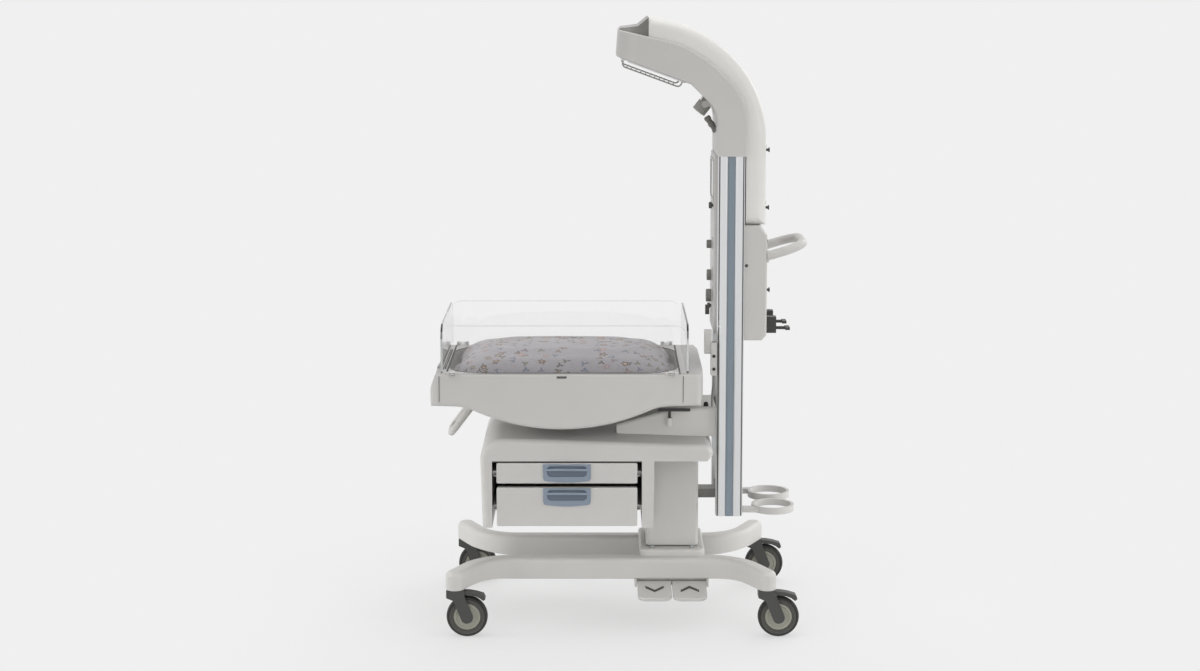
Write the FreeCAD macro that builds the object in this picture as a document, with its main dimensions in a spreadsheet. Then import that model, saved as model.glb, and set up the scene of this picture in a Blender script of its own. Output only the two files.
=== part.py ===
"""Infant radiant warmer on four casters: lift column, drawers, tilting bed, clear panels and heater head.

Millimetres, +Z up, origin on the floor under the middle. The foot end of the bed is at -X, the posts
and the heater are at +X, and the drawers open towards -Y, which is the right-hand side."""
import FreeCAD
import Part
import math
import os
import re

import Sketcher
from FreeCAD import Placement, Rotation, Vector

document = FreeCAD.newDocument("infant_warmer")
sheet = document.addObject("Spreadsheet::Sheet", "Sizes")

# Driving sizes in millimetres and degrees
sizes = {
    # Legs, bowed outwards at both ends
    "leg_centre": 135, "leg_spread": 300, "leg_width": 56, "leg_bottom": 138, "leg_top": 204,
    "leg_end_bottom": 147, "leg_taper": 180, "leg_bend": 64, "leg_bend_radius": 150, "leg_top_round": 16,
    "leg_bottom_round": 5, "front_stem_x": -495, "rear_stem_x": 450,
    # Casters
    "wheel_radius": 62.5, "wheel_width": 30, "rim_radius": 43, "axle_radius": 6, "caster_trail": 36,
    "fork_width": 46, "fork_gap": 34, "fork_top_half": 26, "stem_radius": 11, "stem_top": 178,
    "brake_x": 20, "brake_pin_radius": 2.5, "running_gap": 0.05,
    # Foot pedals
    "pedal_start_x": 60, "pedal_wide": 105, "pedal_gap": 3, "pedal_reach": 262, "pedal_pin_y": -150,
    "pedal_pin_z": 122, "pedal_pin_radius": 5,
    # Lift column of three stages
    "column_x": 168.5, "column_long": 163, "column_wide": 200, "column_round": 12, "column_wall": 6,
    "stage_gap": 0.5, "foot_long": 202, "foot_wide": 280, "foot_top": 226, "mast_top": 500,
    "spindle_radius": 14,
    # Cabinet and platform
    "cabinet_left": -420, "cabinet_right": 288, "cabinet_half": 240, "cabinet_bottom": 321,
    "platform_bottom": 528, "platform_front": 596, "platform_rear": 576, "bay_left": -384, "bay_right": 72,
    "wall_right": 110, "shoulder_round": 62, "shell_round": 18, "frame_thick": 18, "frame_half": 150,
    # Drawers
    "drawer_left": -370, "drawer_right": 58, "drawer_depth": 430, "upper_low": 460, "upper_high": 523,
    "lower_low": 327, "lower_high": 447, "drawer_front_thick": 18, "drawer_wall": 3, "pull_wide": 145,
    "pull_tall": 56, "pull_deep": 22,
    # Posts
    "post_front": 302, "post_rear": 384, "post_outer": 150, "post_width": 44, "post_bottom": 334,
    "post_top": 1448, "post_wall": 4, "strip_wide": 20, "strip_deep": 4,
    # Console and rear box
    "console_front": 292, "console_tall": 548, "box_rear": 454, "box_half": 135, "box_tall": 354,
    "box_drop": 212, "shell_wall": 4,
    # Heater head
    "head_half": 152, "spine_half": 124, "spine_rear": 449.5, "neck_rear": 388, "neck_front": 298.5,
    "nose_x": -7, "nose_rise": 300, "nose_tall": 81, "ridge_x": 91, "ridge_rise": 36,
    "rim_rear_x": 218.5, "heater_angle": 20.2, "heater_long": 204, "heater_half": 120, "heater_deep": 45,
    "lamp_x": 267, "lamp_rise": 150.5, "lamp_lug_out": 30, "lamp_lug_thick": 6,
    # Push handle and tank rings
    "handle_tip": 582, "handle_half": 118, "handle_radius": 14, "handle_bend": 68, "ring_x": 482,
    "ring_y": 88, "ring_inner": 57, "ring_outer": 66, "ring_bottom": 340, "ring_tall": 20,
    # Bed
    "bed_half": 265, "bed_rim": 800, "skirt_bottom": 703, "bed_left": -582, "bed_right": 265,
    "foot_flare": 30, "bed_bow": 18, "foot_seam": -540, "head_seam": 195,
    "belly_left": -452, "belly_right": 109,
    "belly_corner_z": 574, "belly_radius": 640, "hull_wall": 5, "deck_top": 755, "well_left": -515,
    "well_right": 180, "well_border": 27, "tilt_x": -172, "tilt_z": 690, "tilt_shaft_radius": 8,
    # Mattress and clear panels
    "mattress_left": -500, "mattress_right": 168, "mattress_border": 33, "mattress_top": 828,
    "panel_thick": 6, "panel_inset": 15, "panel_left": -536, "panel_right": 212, "panel_top": 946,
    "panel_round": 34, "hinge_offset": 3, "hinge_z": 806, "hinge_pin_radius": 2.5, "knuckle_radius": 4.5,
}
for row, (alias, number) in enumerate(sizes.items(), 1):
    sheet.set(f"A{row}", alias)
    sheet.set(f"B{row}", str(number))
    sheet.setAlias(f"B{row}", alias)
document.recompute()

# Sizes that follow from the driving ones
derived = {
    "console_bottom": "(post_top - console_tall)", "box_top": "(post_top - box_drop)",
    "box_bottom": "(post_top - box_drop - box_tall)", "handle_z": "(post_top - box_drop - 96)",
    "nose_bottom": "(post_top + nose_rise)", "nose_top": "(post_top + nose_rise + nose_tall)",
    "ridge_top": "(post_top + nose_rise + nose_tall + ridge_rise)", "lamp_z": "(post_top + lamp_rise)",
    "well_half": "(bed_half - well_border)", "mattress_half": "(bed_half - mattress_border)",
    "panel_outer": "(bed_half - panel_inset)", "hinge_out": "(bed_half + hinge_offset)",
}
nodes = []


def bound(formula):
    """The formula with each named size read from the sheet."""
    def spelled(word):
        if word[0] in derived:
            return bound(derived[word[0]])
        return f"Sizes.{word[0]}" if word[0] in sizes else word[0]
    return re.sub(r"[a-z][a-z_]*", spelled, str(formula))


def size(formula):
    """The number that a named size, or a formula of them, has."""
    return float(sheet.evalExpression(bound(formula)))


def bind(thing, **formulas):
    for name, formula in formulas.items():
        thing.setExpression(name, bound(formula))


def place(thing, x=0, y=0, z=0):
    for axis, formula in zip("xyz", (x, y, z)):
        thing.setExpression(f"Placement.Base.{axis}", bound(formula))
    return thing


def block(name, x, y, z):
    """A box between pairs of formulas along each axis."""
    box = document.addObject("Part::Box", name)
    spans = [f"({high}) - ({low})" for low, high in (x, y, z)]
    bind(box, Length=spans[0], Width=spans[1], Height=spans[2])
    return place(box, x[0], y[0], z[0])


def rod(name, axis, radius, span, across):
    """A cylinder along x, y or z between two formulas; across holds its other two coordinates in order."""
    cylinder = document.addObject("Part::Cylinder", name)
    turns = {"x": Rotation(Vector(0, 1, 0), 90), "y": Rotation(Vector(1, 0, 0), -90), "z": Rotation()}
    cylinder.Placement = Placement(Vector(), turns[axis])
    bind(cylinder, Radius=radius, Height=f"({span[1]}) - ({span[0]})")
    where = list(across)
    where.insert("xyz".index(axis), span[0])
    return place(cylinder, *where)


def prism(name, plane, corners, span):
    """A body padded from a closed outline of straight lines, between two formulas along the normal."""
    body = document.addObject("PartDesign::Body", name)
    sketch = body.newObject("Sketcher::SketchObject", f"{name}_outline")
    support = [feature for feature in body.Origin.OriginFeatures if feature.Role == f"{plane}_Plane"]
    sketch.AttachmentSupport = (support[0], [""])
    sketch.MapMode = "FlatFace"
    points = [[float(sketch.evalExpression(bound(formula))) for formula in corner] for corner in corners]
    count = len(points)
    for i, (x, y) in enumerate(points):
        far_x, far_y = points[(i + 1) % count]
        sketch.addGeometry(Part.LineSegment(Vector(x, y, 0), Vector(far_x, far_y, 0)))
    for i in range(count):
        sketch.addConstraint(Sketcher.Constraint("Coincident", i, 2, (i + 1) % count, 1))
    for i, corner in enumerate(corners):
        for kind, formula, number in zip(("DistanceX", "DistanceY"), corner, points[i]):
            index = sketch.addConstraint(Sketcher.Constraint(kind, -1, 1, i, 1, number))
            sketch.setExpression(f"Constraints[{index}]", bound(formula))
    pad = body.newObject("PartDesign::Pad", f"{name}_pad")
    pad.Profile = sketch
    pad.SideType = "Symmetric"
    bind(pad, Length=f"({span[1]}) - ({span[0]})")
    middle = f"(({span[0]}) + ({span[1]})) / 2"
    normal = {"XY": "z", "XZ": "y", "YZ": "x"}[plane]
    return place(body, **{normal: middle})


def is_line(edge, axis):
    """Whether an edge is straight and runs along the axis."""
    if edge.Curve.TypeId != "Part::GeomLine":
        return False
    direction = edge.tangentAt(edge.FirstParameter)
    return abs(direction["xyz".index(axis)]) > 0.999


def near(edge, **where):
    """Whether the middle of an edge lies at the given local coordinates, within a millimetre."""
    middle = edge.CenterOfMass
    return all(abs(middle["xyz".index(axis)] - number) < 1 for axis, number in where.items())


def soften(body, radius, test):
    """Round the edges of a body that pass the test."""
    document.recompute()
    base = body.Tip
    names = [f"Edge{i}" for i, edge in enumerate(base.Shape.Edges, 1) if test(edge)]
    fillet = body.newObject("PartDesign::Fillet", f"{body.Name}_fillet")
    fillet.Base = (base, names)
    bind(fillet, Radius=radius)
    body.Tip = fillet
    document.recompute()
    return body


def soften_all(name, thing, radius, test):
    """Round the edges of a joined or cut shape that pass the test."""
    document.recompute()
    fillet = document.addObject("Part::Fillet", name)
    fillet.Base = thing
    fillet.Edges = [(i, radius, radius) for i, edge in enumerate(thing.Shape.Edges, 1) if test(edge)]
    return fillet


def join(name, *things):
    fusion = document.addObject("Part::MultiFuse", name)
    fusion.Shapes = list(things)
    return fusion


def cut(name, base, *tools):
    result = document.addObject("Part::Cut", name)
    result.Base = base
    result.Tool = tools[0] if len(tools) == 1 else join(f"{name}_tools", *tools)
    return result


def overlap(name, *things):
    result = document.addObject("Part::MultiCommon", name)
    result.Shapes = list(things)
    return result


def mirrored(name, thing):
    """The same piece on the other side of the middle plane."""
    mirror = document.addObject("Part::Mirroring", name)
    mirror.Source = thing
    mirror.Base = Vector(0, 0, 0)
    mirror.Normal = Vector(0, 1, 0)
    return mirror


def group(name, *things):
    compound = document.addObject("Part::Compound", name)
    compound.Links = list(things)
    return compound


def node(label, thing):
    """Name a finished sub-part and keep it for writing."""
    thing.Label = label
    nodes.append(thing)
    return thing


def bent_tube(name, points, radius, bend):
    """A round bar along straight runs joined by tangent arcs of the bend radius."""
    ends = [points[0]]
    arcs = []
    for before, corner, after in zip(points, points[1:], points[2:]):
        back = (before - corner).normalize()
        forward = (after - corner).normalize()
        half_angle = back.getAngle(forward) / 2
        reach = bend / math.tan(half_angle)
        middle = (back + forward).normalize()
        summit = corner + middle * (bend / math.sin(half_angle) - bend)
        arcs.append(Part.Arc(corner + back * reach, summit, corner + forward * reach).toShape())
        ends += [corner + back * reach, corner + forward * reach]
    ends.append(points[-1])
    lines = [Part.makeLine(a, b) for a, b in zip(ends[::2], ends[1::2])]
    runs = [lines[0]]
    for arc, line in zip(arcs, lines[1:]):
        runs += [arc, line]
    section = Part.Wire(Part.makeCircle(radius, points[0], points[1] - points[0]))
    tube = document.addObject("Part::Feature", name)
    tube.Shape = Part.Wire(runs).makePipeShell([section], True, True)
    return tube


# Legs: two aluminium castings, splayed and thinner at the ends, which are bored for the caster stems
half_leg = "leg_width / 2"
splay = "(leg_spread - leg_centre) / tan(leg_bend)"
miter = "leg_width / 2 * tan(leg_bend / 2)"
end_long = "leg_width / 2 * cos(leg_bend)"
end_deep = "leg_width / 2 * sin(leg_bend)"
front_bend = f"front_stem_x + {splay}"
rear_bend = f"rear_stem_x - {splay}"
leg = prism("leg", "XY", [
    (f"front_stem_x - {end_long} - {end_deep}", f"-leg_spread - {end_deep} + {end_long}"),
    (f"front_stem_x - {end_long} + {end_deep}", f"-leg_spread - {end_deep} - {end_long}"),
    (f"{front_bend} + {miter}", f"-leg_centre - {half_leg}"),
    (f"{rear_bend} - {miter}", f"-leg_centre - {half_leg}"),
    (f"rear_stem_x + {end_long} - {end_deep}", f"-leg_spread - {end_deep} - {end_long}"),
    (f"rear_stem_x + {end_long} + {end_deep}", f"-leg_spread - {end_deep} + {end_long}"),
    (f"{rear_bend} + {miter}", f"-leg_centre + {half_leg}"),
    (f"{front_bend} - {miter}", f"-leg_centre + {half_leg}"),
], ("leg_bottom", "leg_top"))
inner_y = -size("leg_centre") + size("leg_width") / 2
outer_y = -size("leg_centre") - size("leg_width") / 2
soften(leg, "leg_bend_radius + leg_width / 2", lambda edge: is_line(edge, "z") and near(edge, y=inner_y))
soften(leg, "leg_bend_radius - leg_width / 2", lambda edge: is_line(edge, "z") and near(edge, y=outer_y))
end_y = -size("leg_spread")
soften(leg, "leg_width / 2 - 0.5", lambda edge: is_line(edge, "z") and edge.CenterOfMass.y < end_y + 20
       and abs(edge.CenterOfMass.x) > 400 and len(edge.Vertexes) == 2)
half_tall = (size("leg_top") - size("leg_bottom")) / 2
soften(leg, "leg_top_round", lambda edge: near(edge, z=half_tall))
soften(leg, "leg_bottom_round", lambda edge: near(edge, z=-half_tall))
bores = [
    rod(f"stem_bore_{x}", "z", "stem_radius + running_gap", ("leg_bottom - 1", "stem_top + 1"),
        (x, "-leg_spread"))
    for x in ("front_stem_x", "rear_stem_x")
]
tapers = []
for x, inward in (("front_stem_x", 1), ("rear_stem_x", -1)):
    tapers.append(prism(f"leg_taper_{x}", "XZ", [
        (f"{x} + {inward} * leg_taper", "leg_bottom"), (f"{x} + {inward} * 40", "leg_end_bottom"),
        (f"{x} - {inward} * 90", "leg_end_bottom"), (f"{x} - {inward} * 90", "leg_bottom - 1"),
        (f"{x} + {inward} * leg_taper", "leg_bottom - 1"),
    ], ("-leg_spread - 90", 0)))
right_leg = cut("right_leg_shape", leg, *bores, *tapers)
node("base_legs", group("base_legs", right_leg, mirrored("left_leg_shape", right_leg)))

# Cross frame: welded steel box between the legs, with the column's foot plate and the pedals' pin
leg_inside = "leg_centre - leg_width / 2"
pedal_end_x = "pedal_start_x + 2 * pedal_wide + pedal_gap"
cross_box = block("cross_box", ("column_x - 95", "column_x + 95"), (f"-({leg_inside})", leg_inside),
                  (128, "leg_top"))
foot_plate = prism("foot_plate", "XY", [
    ("column_x - foot_long / 2", "-foot_wide / 2"), ("column_x + foot_long / 2", "-foot_wide / 2"),
    ("column_x + foot_long / 2", "foot_wide / 2"), ("column_x - foot_long / 2", "foot_wide / 2"),
], ("leg_top", "foot_top"))
soften(foot_plate, 22, lambda edge: is_line(edge, "z"))
soften(foot_plate, 8, lambda edge: edge.CenterOfMass.z > 5)
pedal_bar = block("pedal_bar", ("pedal_start_x - 8", f"{pedal_end_x} + 8"), (-106, -85),
                  (112, "leg_bottom + 10"))
pedal_ears = [
    block("pedal_ear_front", ("pedal_start_x - 8", "pedal_start_x - 1"), (-160, -85),
          (112, "leg_bottom - 1")),
    block("pedal_ear_rear", (f"{pedal_end_x} + 1", f"{pedal_end_x} + 8"), (-160, -85),
          (112, "leg_bottom - 1")),
]
pedal_pin = rod("pedal_pin", "x", "pedal_pin_radius", ("pedal_start_x - 8", f"{pedal_end_x} + 8"),
                ("pedal_pin_y", "pedal_pin_z"))
node("cross_frame", join("cross_frame", cross_box, foot_plate, pedal_bar, *pedal_ears, pedal_pin))


# Foot pedals: moulded treads on the pin, each with a raised arrow, down at the front and up at the rear
def foot_pedal(label, start, arrow_up):
    end = f"{start} + pedal_wide"
    tread = prism(f"{label}_tread", "YZ", [
        ("pedal_pin_y + 12", "pedal_pin_z + 6"), ("pedal_pin_y - 8", "pedal_pin_z + 9"),
        ("-pedal_reach", "pedal_pin_z - 16"), ("-pedal_reach", "pedal_pin_z - 28"),
        ("pedal_pin_y - 8", "pedal_pin_z - 9"), ("pedal_pin_y + 12", "pedal_pin_z - 9"),
    ], (start, end))
    soften(tread, 26, lambda edge: is_line(edge, "z") and near(edge, y=-size("pedal_reach")))
    soften(tread, 4, lambda edge: edge.CenterOfMass.y < size("pedal_pin_y") - 10 and edge.Length > 30)
    middle = f"{start} + pedal_wide / 2"
    near_end, far_end = "-pedal_reach + 38", "-pedal_reach + 62"
    tip, foot = (far_end, near_end) if arrow_up else (near_end, far_end)
    arrow = prism(f"{label}_arrow", "XY", [
        (f"{middle} - 26", foot), (middle, tip), (f"{middle} + 26", foot),
        (f"{middle} + 26", f"{foot} + 9"), (middle, f"{tip} + 9"), (f"{middle} - 26", f"{foot} + 9"),
    ], ("pedal_pin_z - 14", "pedal_pin_z + 12"))
    slope = Rotation(Vector(1, 0, 0),
                     math.degrees(math.atan2(25, size("pedal_reach") + size("pedal_pin_y") - 8)))
    skin = prism(f"{label}_skin", "YZ", [
        ("pedal_pin_y - 8", "pedal_pin_z + 9"), ("pedal_pin_y - 8", "pedal_pin_z + 10.5"),
        ("-pedal_reach", "pedal_pin_z - 14.5"), ("-pedal_reach", "pedal_pin_z - 16"),
    ], (start, end))
    raised = overlap(f"{label}_raised_arrow", arrow, skin)
    hole = rod(f"{label}_hole", "x", "pedal_pin_radius + running_gap", (f"{start} - 1", f"{end} + 1"),
               ("pedal_pin_y", "pedal_pin_z"))
    return node(label, cut(label, join(f"{label}_solid", tread, raised), hole))


foot_pedal("down_pedal", "pedal_start_x", False)
foot_pedal("up_pedal", "pedal_start_x + pedal_wide + pedal_gap", True)


# Lift column: three rectangular tubes that telescope, with a spindle inside
def column_block(name, inset, span):
    """A solid of the column's rounded rectangle, drawn in by the inset all round."""
    long, wide = f"(column_long / 2 - {inset})", f"(column_wide / 2 - {inset})"
    body = prism(name, "XY", [
        (f"column_x - {long}", f"-{wide}"), (f"column_x + {long}", f"-{wide}"),
        (f"column_x + {long}", wide), (f"column_x - {long}", wide),
    ], span)
    return soften(body, f"max(column_round - {inset}; 3)", lambda edge: is_line(edge, "z"))


def column_tube(name, inset, low, high):
    outside = column_block(f"{name}_outside", inset, (low, high))
    inside = column_block(f"{name}_inside", f"({inset} + column_wall)", (f"{low} - 1", f"{high} + 1"))
    return cut(name, outside, inside)


stage = "(column_wall + stage_gap)"
node("inner_mast", column_tube("inner_mast", f"2 * {stage}", "foot_top", "mast_top"))
column_at = ("column_x", 0)
motor = block("lift_motor", ("column_x - 45", "column_x + 45"), (-55, 55), ("foot_top", "foot_top + 70"))
screw_tube = rod("screw_tube", "z", "spindle_radius + 12", ("foot_top", "mast_top"), column_at)
screw_bore = rod("screw_bore", "z", "spindle_radius + 6.5", ("foot_top + 8", "mast_top + 1"), column_at)
node("lift_actuator", cut("lift_actuator", join("lift_actuator_solid", motor, screw_tube), screw_bore))

middle_tube = column_tube("middle_tube", stage, "foot_top + 10", "mast_top + 10")
middle_cap = column_block("middle_cap", f"({stage} + column_wall - 1)", ("mast_top + 4", "mast_top + 10"))
spindle_tube = rod("spindle_tube", "z", "spindle_radius + 6", ("foot_top + 12", "mast_top + 10"), column_at)
spindle_bore = rod("spindle_bore", "z", "spindle_radius + 0.5", ("foot_top", "mast_top + 20"), column_at)
middle_solid = join("middle_solid", middle_tube, middle_cap, spindle_tube)
node("middle_mast", cut("middle_mast", middle_solid, spindle_bore))
node("outer_sleeve", column_tube("outer_sleeve", "0", "foot_top + 4", "platform_bottom"))

# Platform frame: steel plate on the sleeve, with the lift spindle's rod and two ears for the tilt shaft
frame_top = "platform_bottom + frame_thick"
frame_plate = block("frame_plate", (-300, 275), ("-frame_half", "frame_half"),
                    ("platform_bottom", frame_top))
frame_rod = rod("frame_rod", "z", "spindle_radius", ("foot_top + 20", "platform_bottom + 1"), column_at)
ears = []
for side in (-1, 1):
    ear = prism(f"bed_ear_{side + 1}", "XZ", [
        ("tilt_x - 45", "platform_bottom + 1"), ("tilt_x + 45", "platform_bottom + 1"),
        ("tilt_x + 18", "tilt_z + 18"), ("tilt_x - 18", "tilt_z + 18"),
    ], (53 * side - 5, 53 * side + 5))
    ears.append(soften(ear, 16, lambda edge: is_line(edge, "y") and edge.CenterOfMass.z > size("tilt_z")))
shaft_hole = rod("shaft_hole", "y", "tilt_shaft_radius + running_gap", (-70, 70), ("tilt_x", "tilt_z"))
node("platform_frame",
     cut("platform_frame", join("frame_solid", frame_plate, frame_rod, *ears), shaft_hole))

# Cabinet shell: one moulding over the frame, with a wall each side of the drawers, a back and runner ledges
shell_profile = prism("shell_profile", "XZ", [
    ("cabinet_left + 6", "cabinet_bottom"), ("cabinet_left", "platform_bottom"),
    ("cabinet_left", "platform_front"), ("cabinet_left + 90", "platform_front"),
    ("cabinet_right", "platform_rear"), ("cabinet_right", "platform_bottom + 18"),
    ("cabinet_right - 18", "platform_bottom"), ("wall_right", "platform_bottom"),
    ("wall_right - 2", "cabinet_bottom"), ("bay_right", "cabinet_bottom"), ("bay_right", "platform_bottom"),
    ("bay_left", "platform_bottom"), ("bay_left", "cabinet_bottom"),
], ("-cabinet_half", "cabinet_half"))
soften(shell_profile, "shoulder_round", lambda edge: is_line(edge, "y")
       and near(edge, x=size("cabinet_left"), z=size("platform_front")))
soften(shell_profile, 24, lambda edge: is_line(edge, "y") and near(edge, x=size("cabinet_right"))
       and edge.CenterOfMass.z > size("platform_bottom") + 30)
outside_x = size("bay_left") - 10


def on_shell_rim(edge):
    """Edges of the near and far faces along the outer wall, the shoulder and the top."""
    middle = edge.CenterOfMass
    if abs(abs(middle.y) - size("cabinet_half")) > 1:
        return False
    on_wall = middle.x < outside_x and middle.z > size("cabinet_bottom") + 5
    return on_wall or middle.z > size("platform_bottom") + 25


soften(shell_profile, "shell_round", on_shell_rim)
shell_back = block("shell_back", ("bay_left", "bay_right"), ("cabinet_half - 30", "cabinet_half - 18"),
                   ("cabinet_bottom + 8", "platform_bottom"))
ledges = []
for low in ("upper_low + 22", "lower_low + 50"):
    for side, x in (("left", ("bay_left", "drawer_left - 1.5")),
                    ("right", ("drawer_right + 1.5", "bay_right"))):
        ledge = block(f"ledge_{side}_{low[:5]}", x, ("-cabinet_half + 24", "cabinet_half - 30"),
                      (low, f"{low} + 9"))
        ledges.append(ledge)
frame_pocket = block("frame_pocket", (-301, 276), ("-frame_half - 1", "frame_half + 1"),
                     ("platform_bottom - 1", frame_top))
sleeve_left = "min(bay_right + 6; column_x - column_long / 2 - 2)"
sleeve_room = block("sleeve_room", (sleeve_left, "cabinet_right"),
                    ("-column_wide / 2 - 2", "column_wide / 2 + 2"),
                    ("cabinet_bottom - 1", "platform_bottom"))
ear_slots = [
    block(f"ear_slot_{side}", ("tilt_x - 50", "tilt_x + 50"), (53 * side - 7, 53 * side + 7),
          (frame_top, "platform_front + 1"))
    for side in (-1, 1)
]
shell_solid = join("shell_solid", shell_profile, shell_back, *ledges)
node("cabinet_shell", cut("cabinet_shell", shell_solid, frame_pocket, sleeve_room, *ear_slots))


# Drawers: moulded fronts with sheet tubs behind, hung on the ledges, each with a hooded pull
def drawer(label, low, high, ledge):
    front_y = ("-cabinet_half - 4", "-cabinet_half - 4 + drawer_front_thick")
    front = prism(f"{label}_front", "XZ", [
        ("drawer_left", low), ("drawer_right", low), ("drawer_right", high), ("drawer_left", high),
    ], front_y)
    soften(front, 5, lambda edge: is_line(edge, "y"))
    soften(front, 2, lambda edge: edge.CenterOfMass.y < -5)
    tub_y = (front_y[1], f"{front_y[1]} + drawer_depth")
    tub = block(f"{label}_tub", ("drawer_left + 14", "drawer_right - 14"), tub_y,
                (f"{low} + 4", f"{high} - 10"))
    hollow = block(f"{label}_hollow", ("drawer_left + 14 + drawer_wall", "drawer_right - 14 - drawer_wall"),
                   (f"{tub_y[0]} + drawer_wall", f"{tub_y[1]} - drawer_wall"),
                   (f"{low} + 4 + drawer_wall", high))
    grooves = []
    for side, x in (("left", ("drawer_left", "drawer_left + 14")),
                    ("right", ("drawer_right - 14", "drawer_right"))):
        for part, z in (("under", (f"{ledge} - 4", f"{ledge} - 0.5")),
                        ("over", (f"{ledge} + 9.5", f"{ledge} + 13"))):
            rail_x = (f"({x[0]}) - 10", x[1]) if side == "left" else (x[0], f"({x[1]}) + 10")
            grooves.append(block(f"{label}_rail_{side}_{part}", rail_x, tub_y, z))
    railed_tub = join(f"{label}_railed_tub", cut(f"{label}_tub_open", tub, hollow), *grooves)
    return node(label, group(label, front, railed_tub))


def drawer_pull(label, top):
    face = "(-cabinet_half - 4)"
    middle = "(drawer_left + drawer_right) / 2"
    profile = prism(f"{label}_profile", "YZ", [
        (face, top), (f"{face} - 8", top), (f"{face} - pull_deep + 4", f"{top} - 9"),
        (f"{face} - pull_deep", f"{top} - 30"), (f"{face} - pull_deep + 4", f"{top} - 31"),
        (f"{face} - pull_deep + 8", f"{top} - 12"), (f"{face} - 8", f"{top} - 5"),
        (f"{face} - 4", f"{top} - 9"),
        (f"{face} - 4", f"{top} - pull_tall"), (face, f"{top} - pull_tall"),
    ], (f"{middle} - pull_wide / 2", f"{middle} + pull_wide / 2"))
    outline = prism(f"{label}_outline", "XZ", [
        (f"{middle} - pull_wide / 2", f"{top} - pull_tall"),
        (f"{middle} + pull_wide / 2", f"{top} - pull_tall"),
        (f"{middle} + pull_wide / 2", top), (f"{middle} - pull_wide / 2", top),
    ], (f"{face} - pull_deep - 1", face))
    soften(outline, 24, lambda edge: is_line(edge, "y") and edge.CenterOfMass.z < label_low[label])
    soften(outline, 5, lambda edge: is_line(edge, "y") and edge.CenterOfMass.z > label_low[label])
    return node(label, overlap(label, profile, outline))


drawer("upper_drawer", "upper_low", "upper_high", "upper_low + 22")
drawer("lower_drawer", "lower_low", "lower_high", "lower_low + 50")
label_low = {"upper_pull": size("upper_high") - 30, "lower_pull": size("lower_high") - 30}
drawer_pull("upper_pull", "upper_high - 3")
drawer_pull("lower_pull", "lower_high - 1")


def platform_z(x):
    """Height of the sloping platform top at a distance along the warmer, as a formula."""
    start = "(cabinet_left + 90)"
    share = f"({x} - {start}) / (cabinet_right - {start})"
    return f"(platform_front + (platform_rear - platform_front) * {share})"


# Bed support arm: a cast fairing from the posts over the platform, with a boss for the release lever
arm = prism("arm_body", "XZ", [
    (-4, f"{platform_z(-4)} + 0.05"), (286, f"{platform_z(286)} + 0.05"),
    ("post_front", f"{platform_z(286)} + 0.05"),
    ("post_front", 668),
    (180, 664), (120, 650), (-4, 614),
], (-104, 104))
soften(arm, 10, lambda edge: abs(abs(edge.CenterOfMass.y) - 104) < 1 and edge.CenterOfMass.z > 625
       and edge.CenterOfMass.x < size("post_front") - 8)
lever_boss = rod("lever_boss", "z", 9, (612, 636), (159, -114))
lever_web = block("lever_web", (151, 167), (-114, -100), (612, 634))
lever_bore = rod("lever_bore", "z", "4 + running_gap", (616, 640), (159, -114))
node("bed_support_arm", cut("bed_support_arm", join("arm_solid", arm, lever_boss, lever_web), lever_bore))

# Release lever: a flat bar on an upright pin
lever_bar = prism("lever_bar", "XY", [(124, -121), (223, -121), (223, -107), (124, -107)], (658, 665))
soften(lever_bar, 6, lambda edge: is_line(edge, "z"))
lever_pin = rod("lever_pin", "z", 4, (617, 660), (159, -114))
node("release_lever", join("release_lever", lever_bar, lever_pin))

# Posts: hollow aluminium extrusions with a shallow channel down the outer face for the coloured strip
post_mid = "((post_front + post_rear) / 2)"
post_inner = "(post_outer - post_width)"
post = prism("post_profile", "XY", [
    ("post_front", f"-{post_inner}"), ("post_front", "-post_outer + 8"), ("post_front + 9", "-post_outer"),
    (f"{post_mid} - strip_wide / 2 - 6", "-post_outer"),
    (f"{post_mid} - strip_wide / 2", "-post_outer + strip_deep"),
    (f"{post_mid} + strip_wide / 2", "-post_outer + strip_deep"),
    (f"{post_mid} + strip_wide / 2 + 6", "-post_outer"),
    ("post_rear - 9", "-post_outer"), ("post_rear", "-post_outer + 8"), ("post_rear", f"-{post_inner}"),
], ("post_bottom", "post_top"))
soften(post, 3, lambda edge: is_line(edge, "z")
       and (near(edge, y=-size("post_outer")) or near(edge, y=-size("post_outer") + 8)))
post_bore = block("post_bore", ("post_front + post_wall", "post_rear - post_wall"),
                  ("-post_outer + 8 + post_wall", f"-{post_inner} - post_wall"),
                  ("post_bottom - 1", "post_top - 4"))
right_post = cut("right_post", post, post_bore)
node("posts", group("posts", right_post, mirrored("left_post", right_post)))
right_strip = block("right_strip", (f"{post_mid} - strip_wide / 2", f"{post_mid} + strip_wide / 2"),
                    ("-post_outer + 1.5", "-post_outer + strip_deep"), ("post_bottom", "post_top"))
node("post_strips", group("post_strips", right_strip, mirrored("left_strip", right_strip)))

# Post brace: steel bars that tie the two posts to the sleeve and to the platform frame
sleeve_rear = "(column_x + column_long / 2)"
brace_bar = block("brace_bar", (sleeve_rear, "post_front + 30"), (-30, 30), (364, 392))
brace_cross = block("brace_cross", ("post_front + 8", "post_rear - 8"), (f"-{post_inner}", post_inner),
                    (364, 392))
tie_cross = block("tie_cross", ("post_front + 8", "post_rear - 8"), (f"-{post_inner}", post_inner),
                  (600, 660))
tie_bar = block("tie_bar", ("post_front", "post_front + 10"), (-90, 90), (600, 650))
node("post_brace", join("post_brace", brace_bar, brace_cross, tie_cross, tie_bar))

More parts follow.
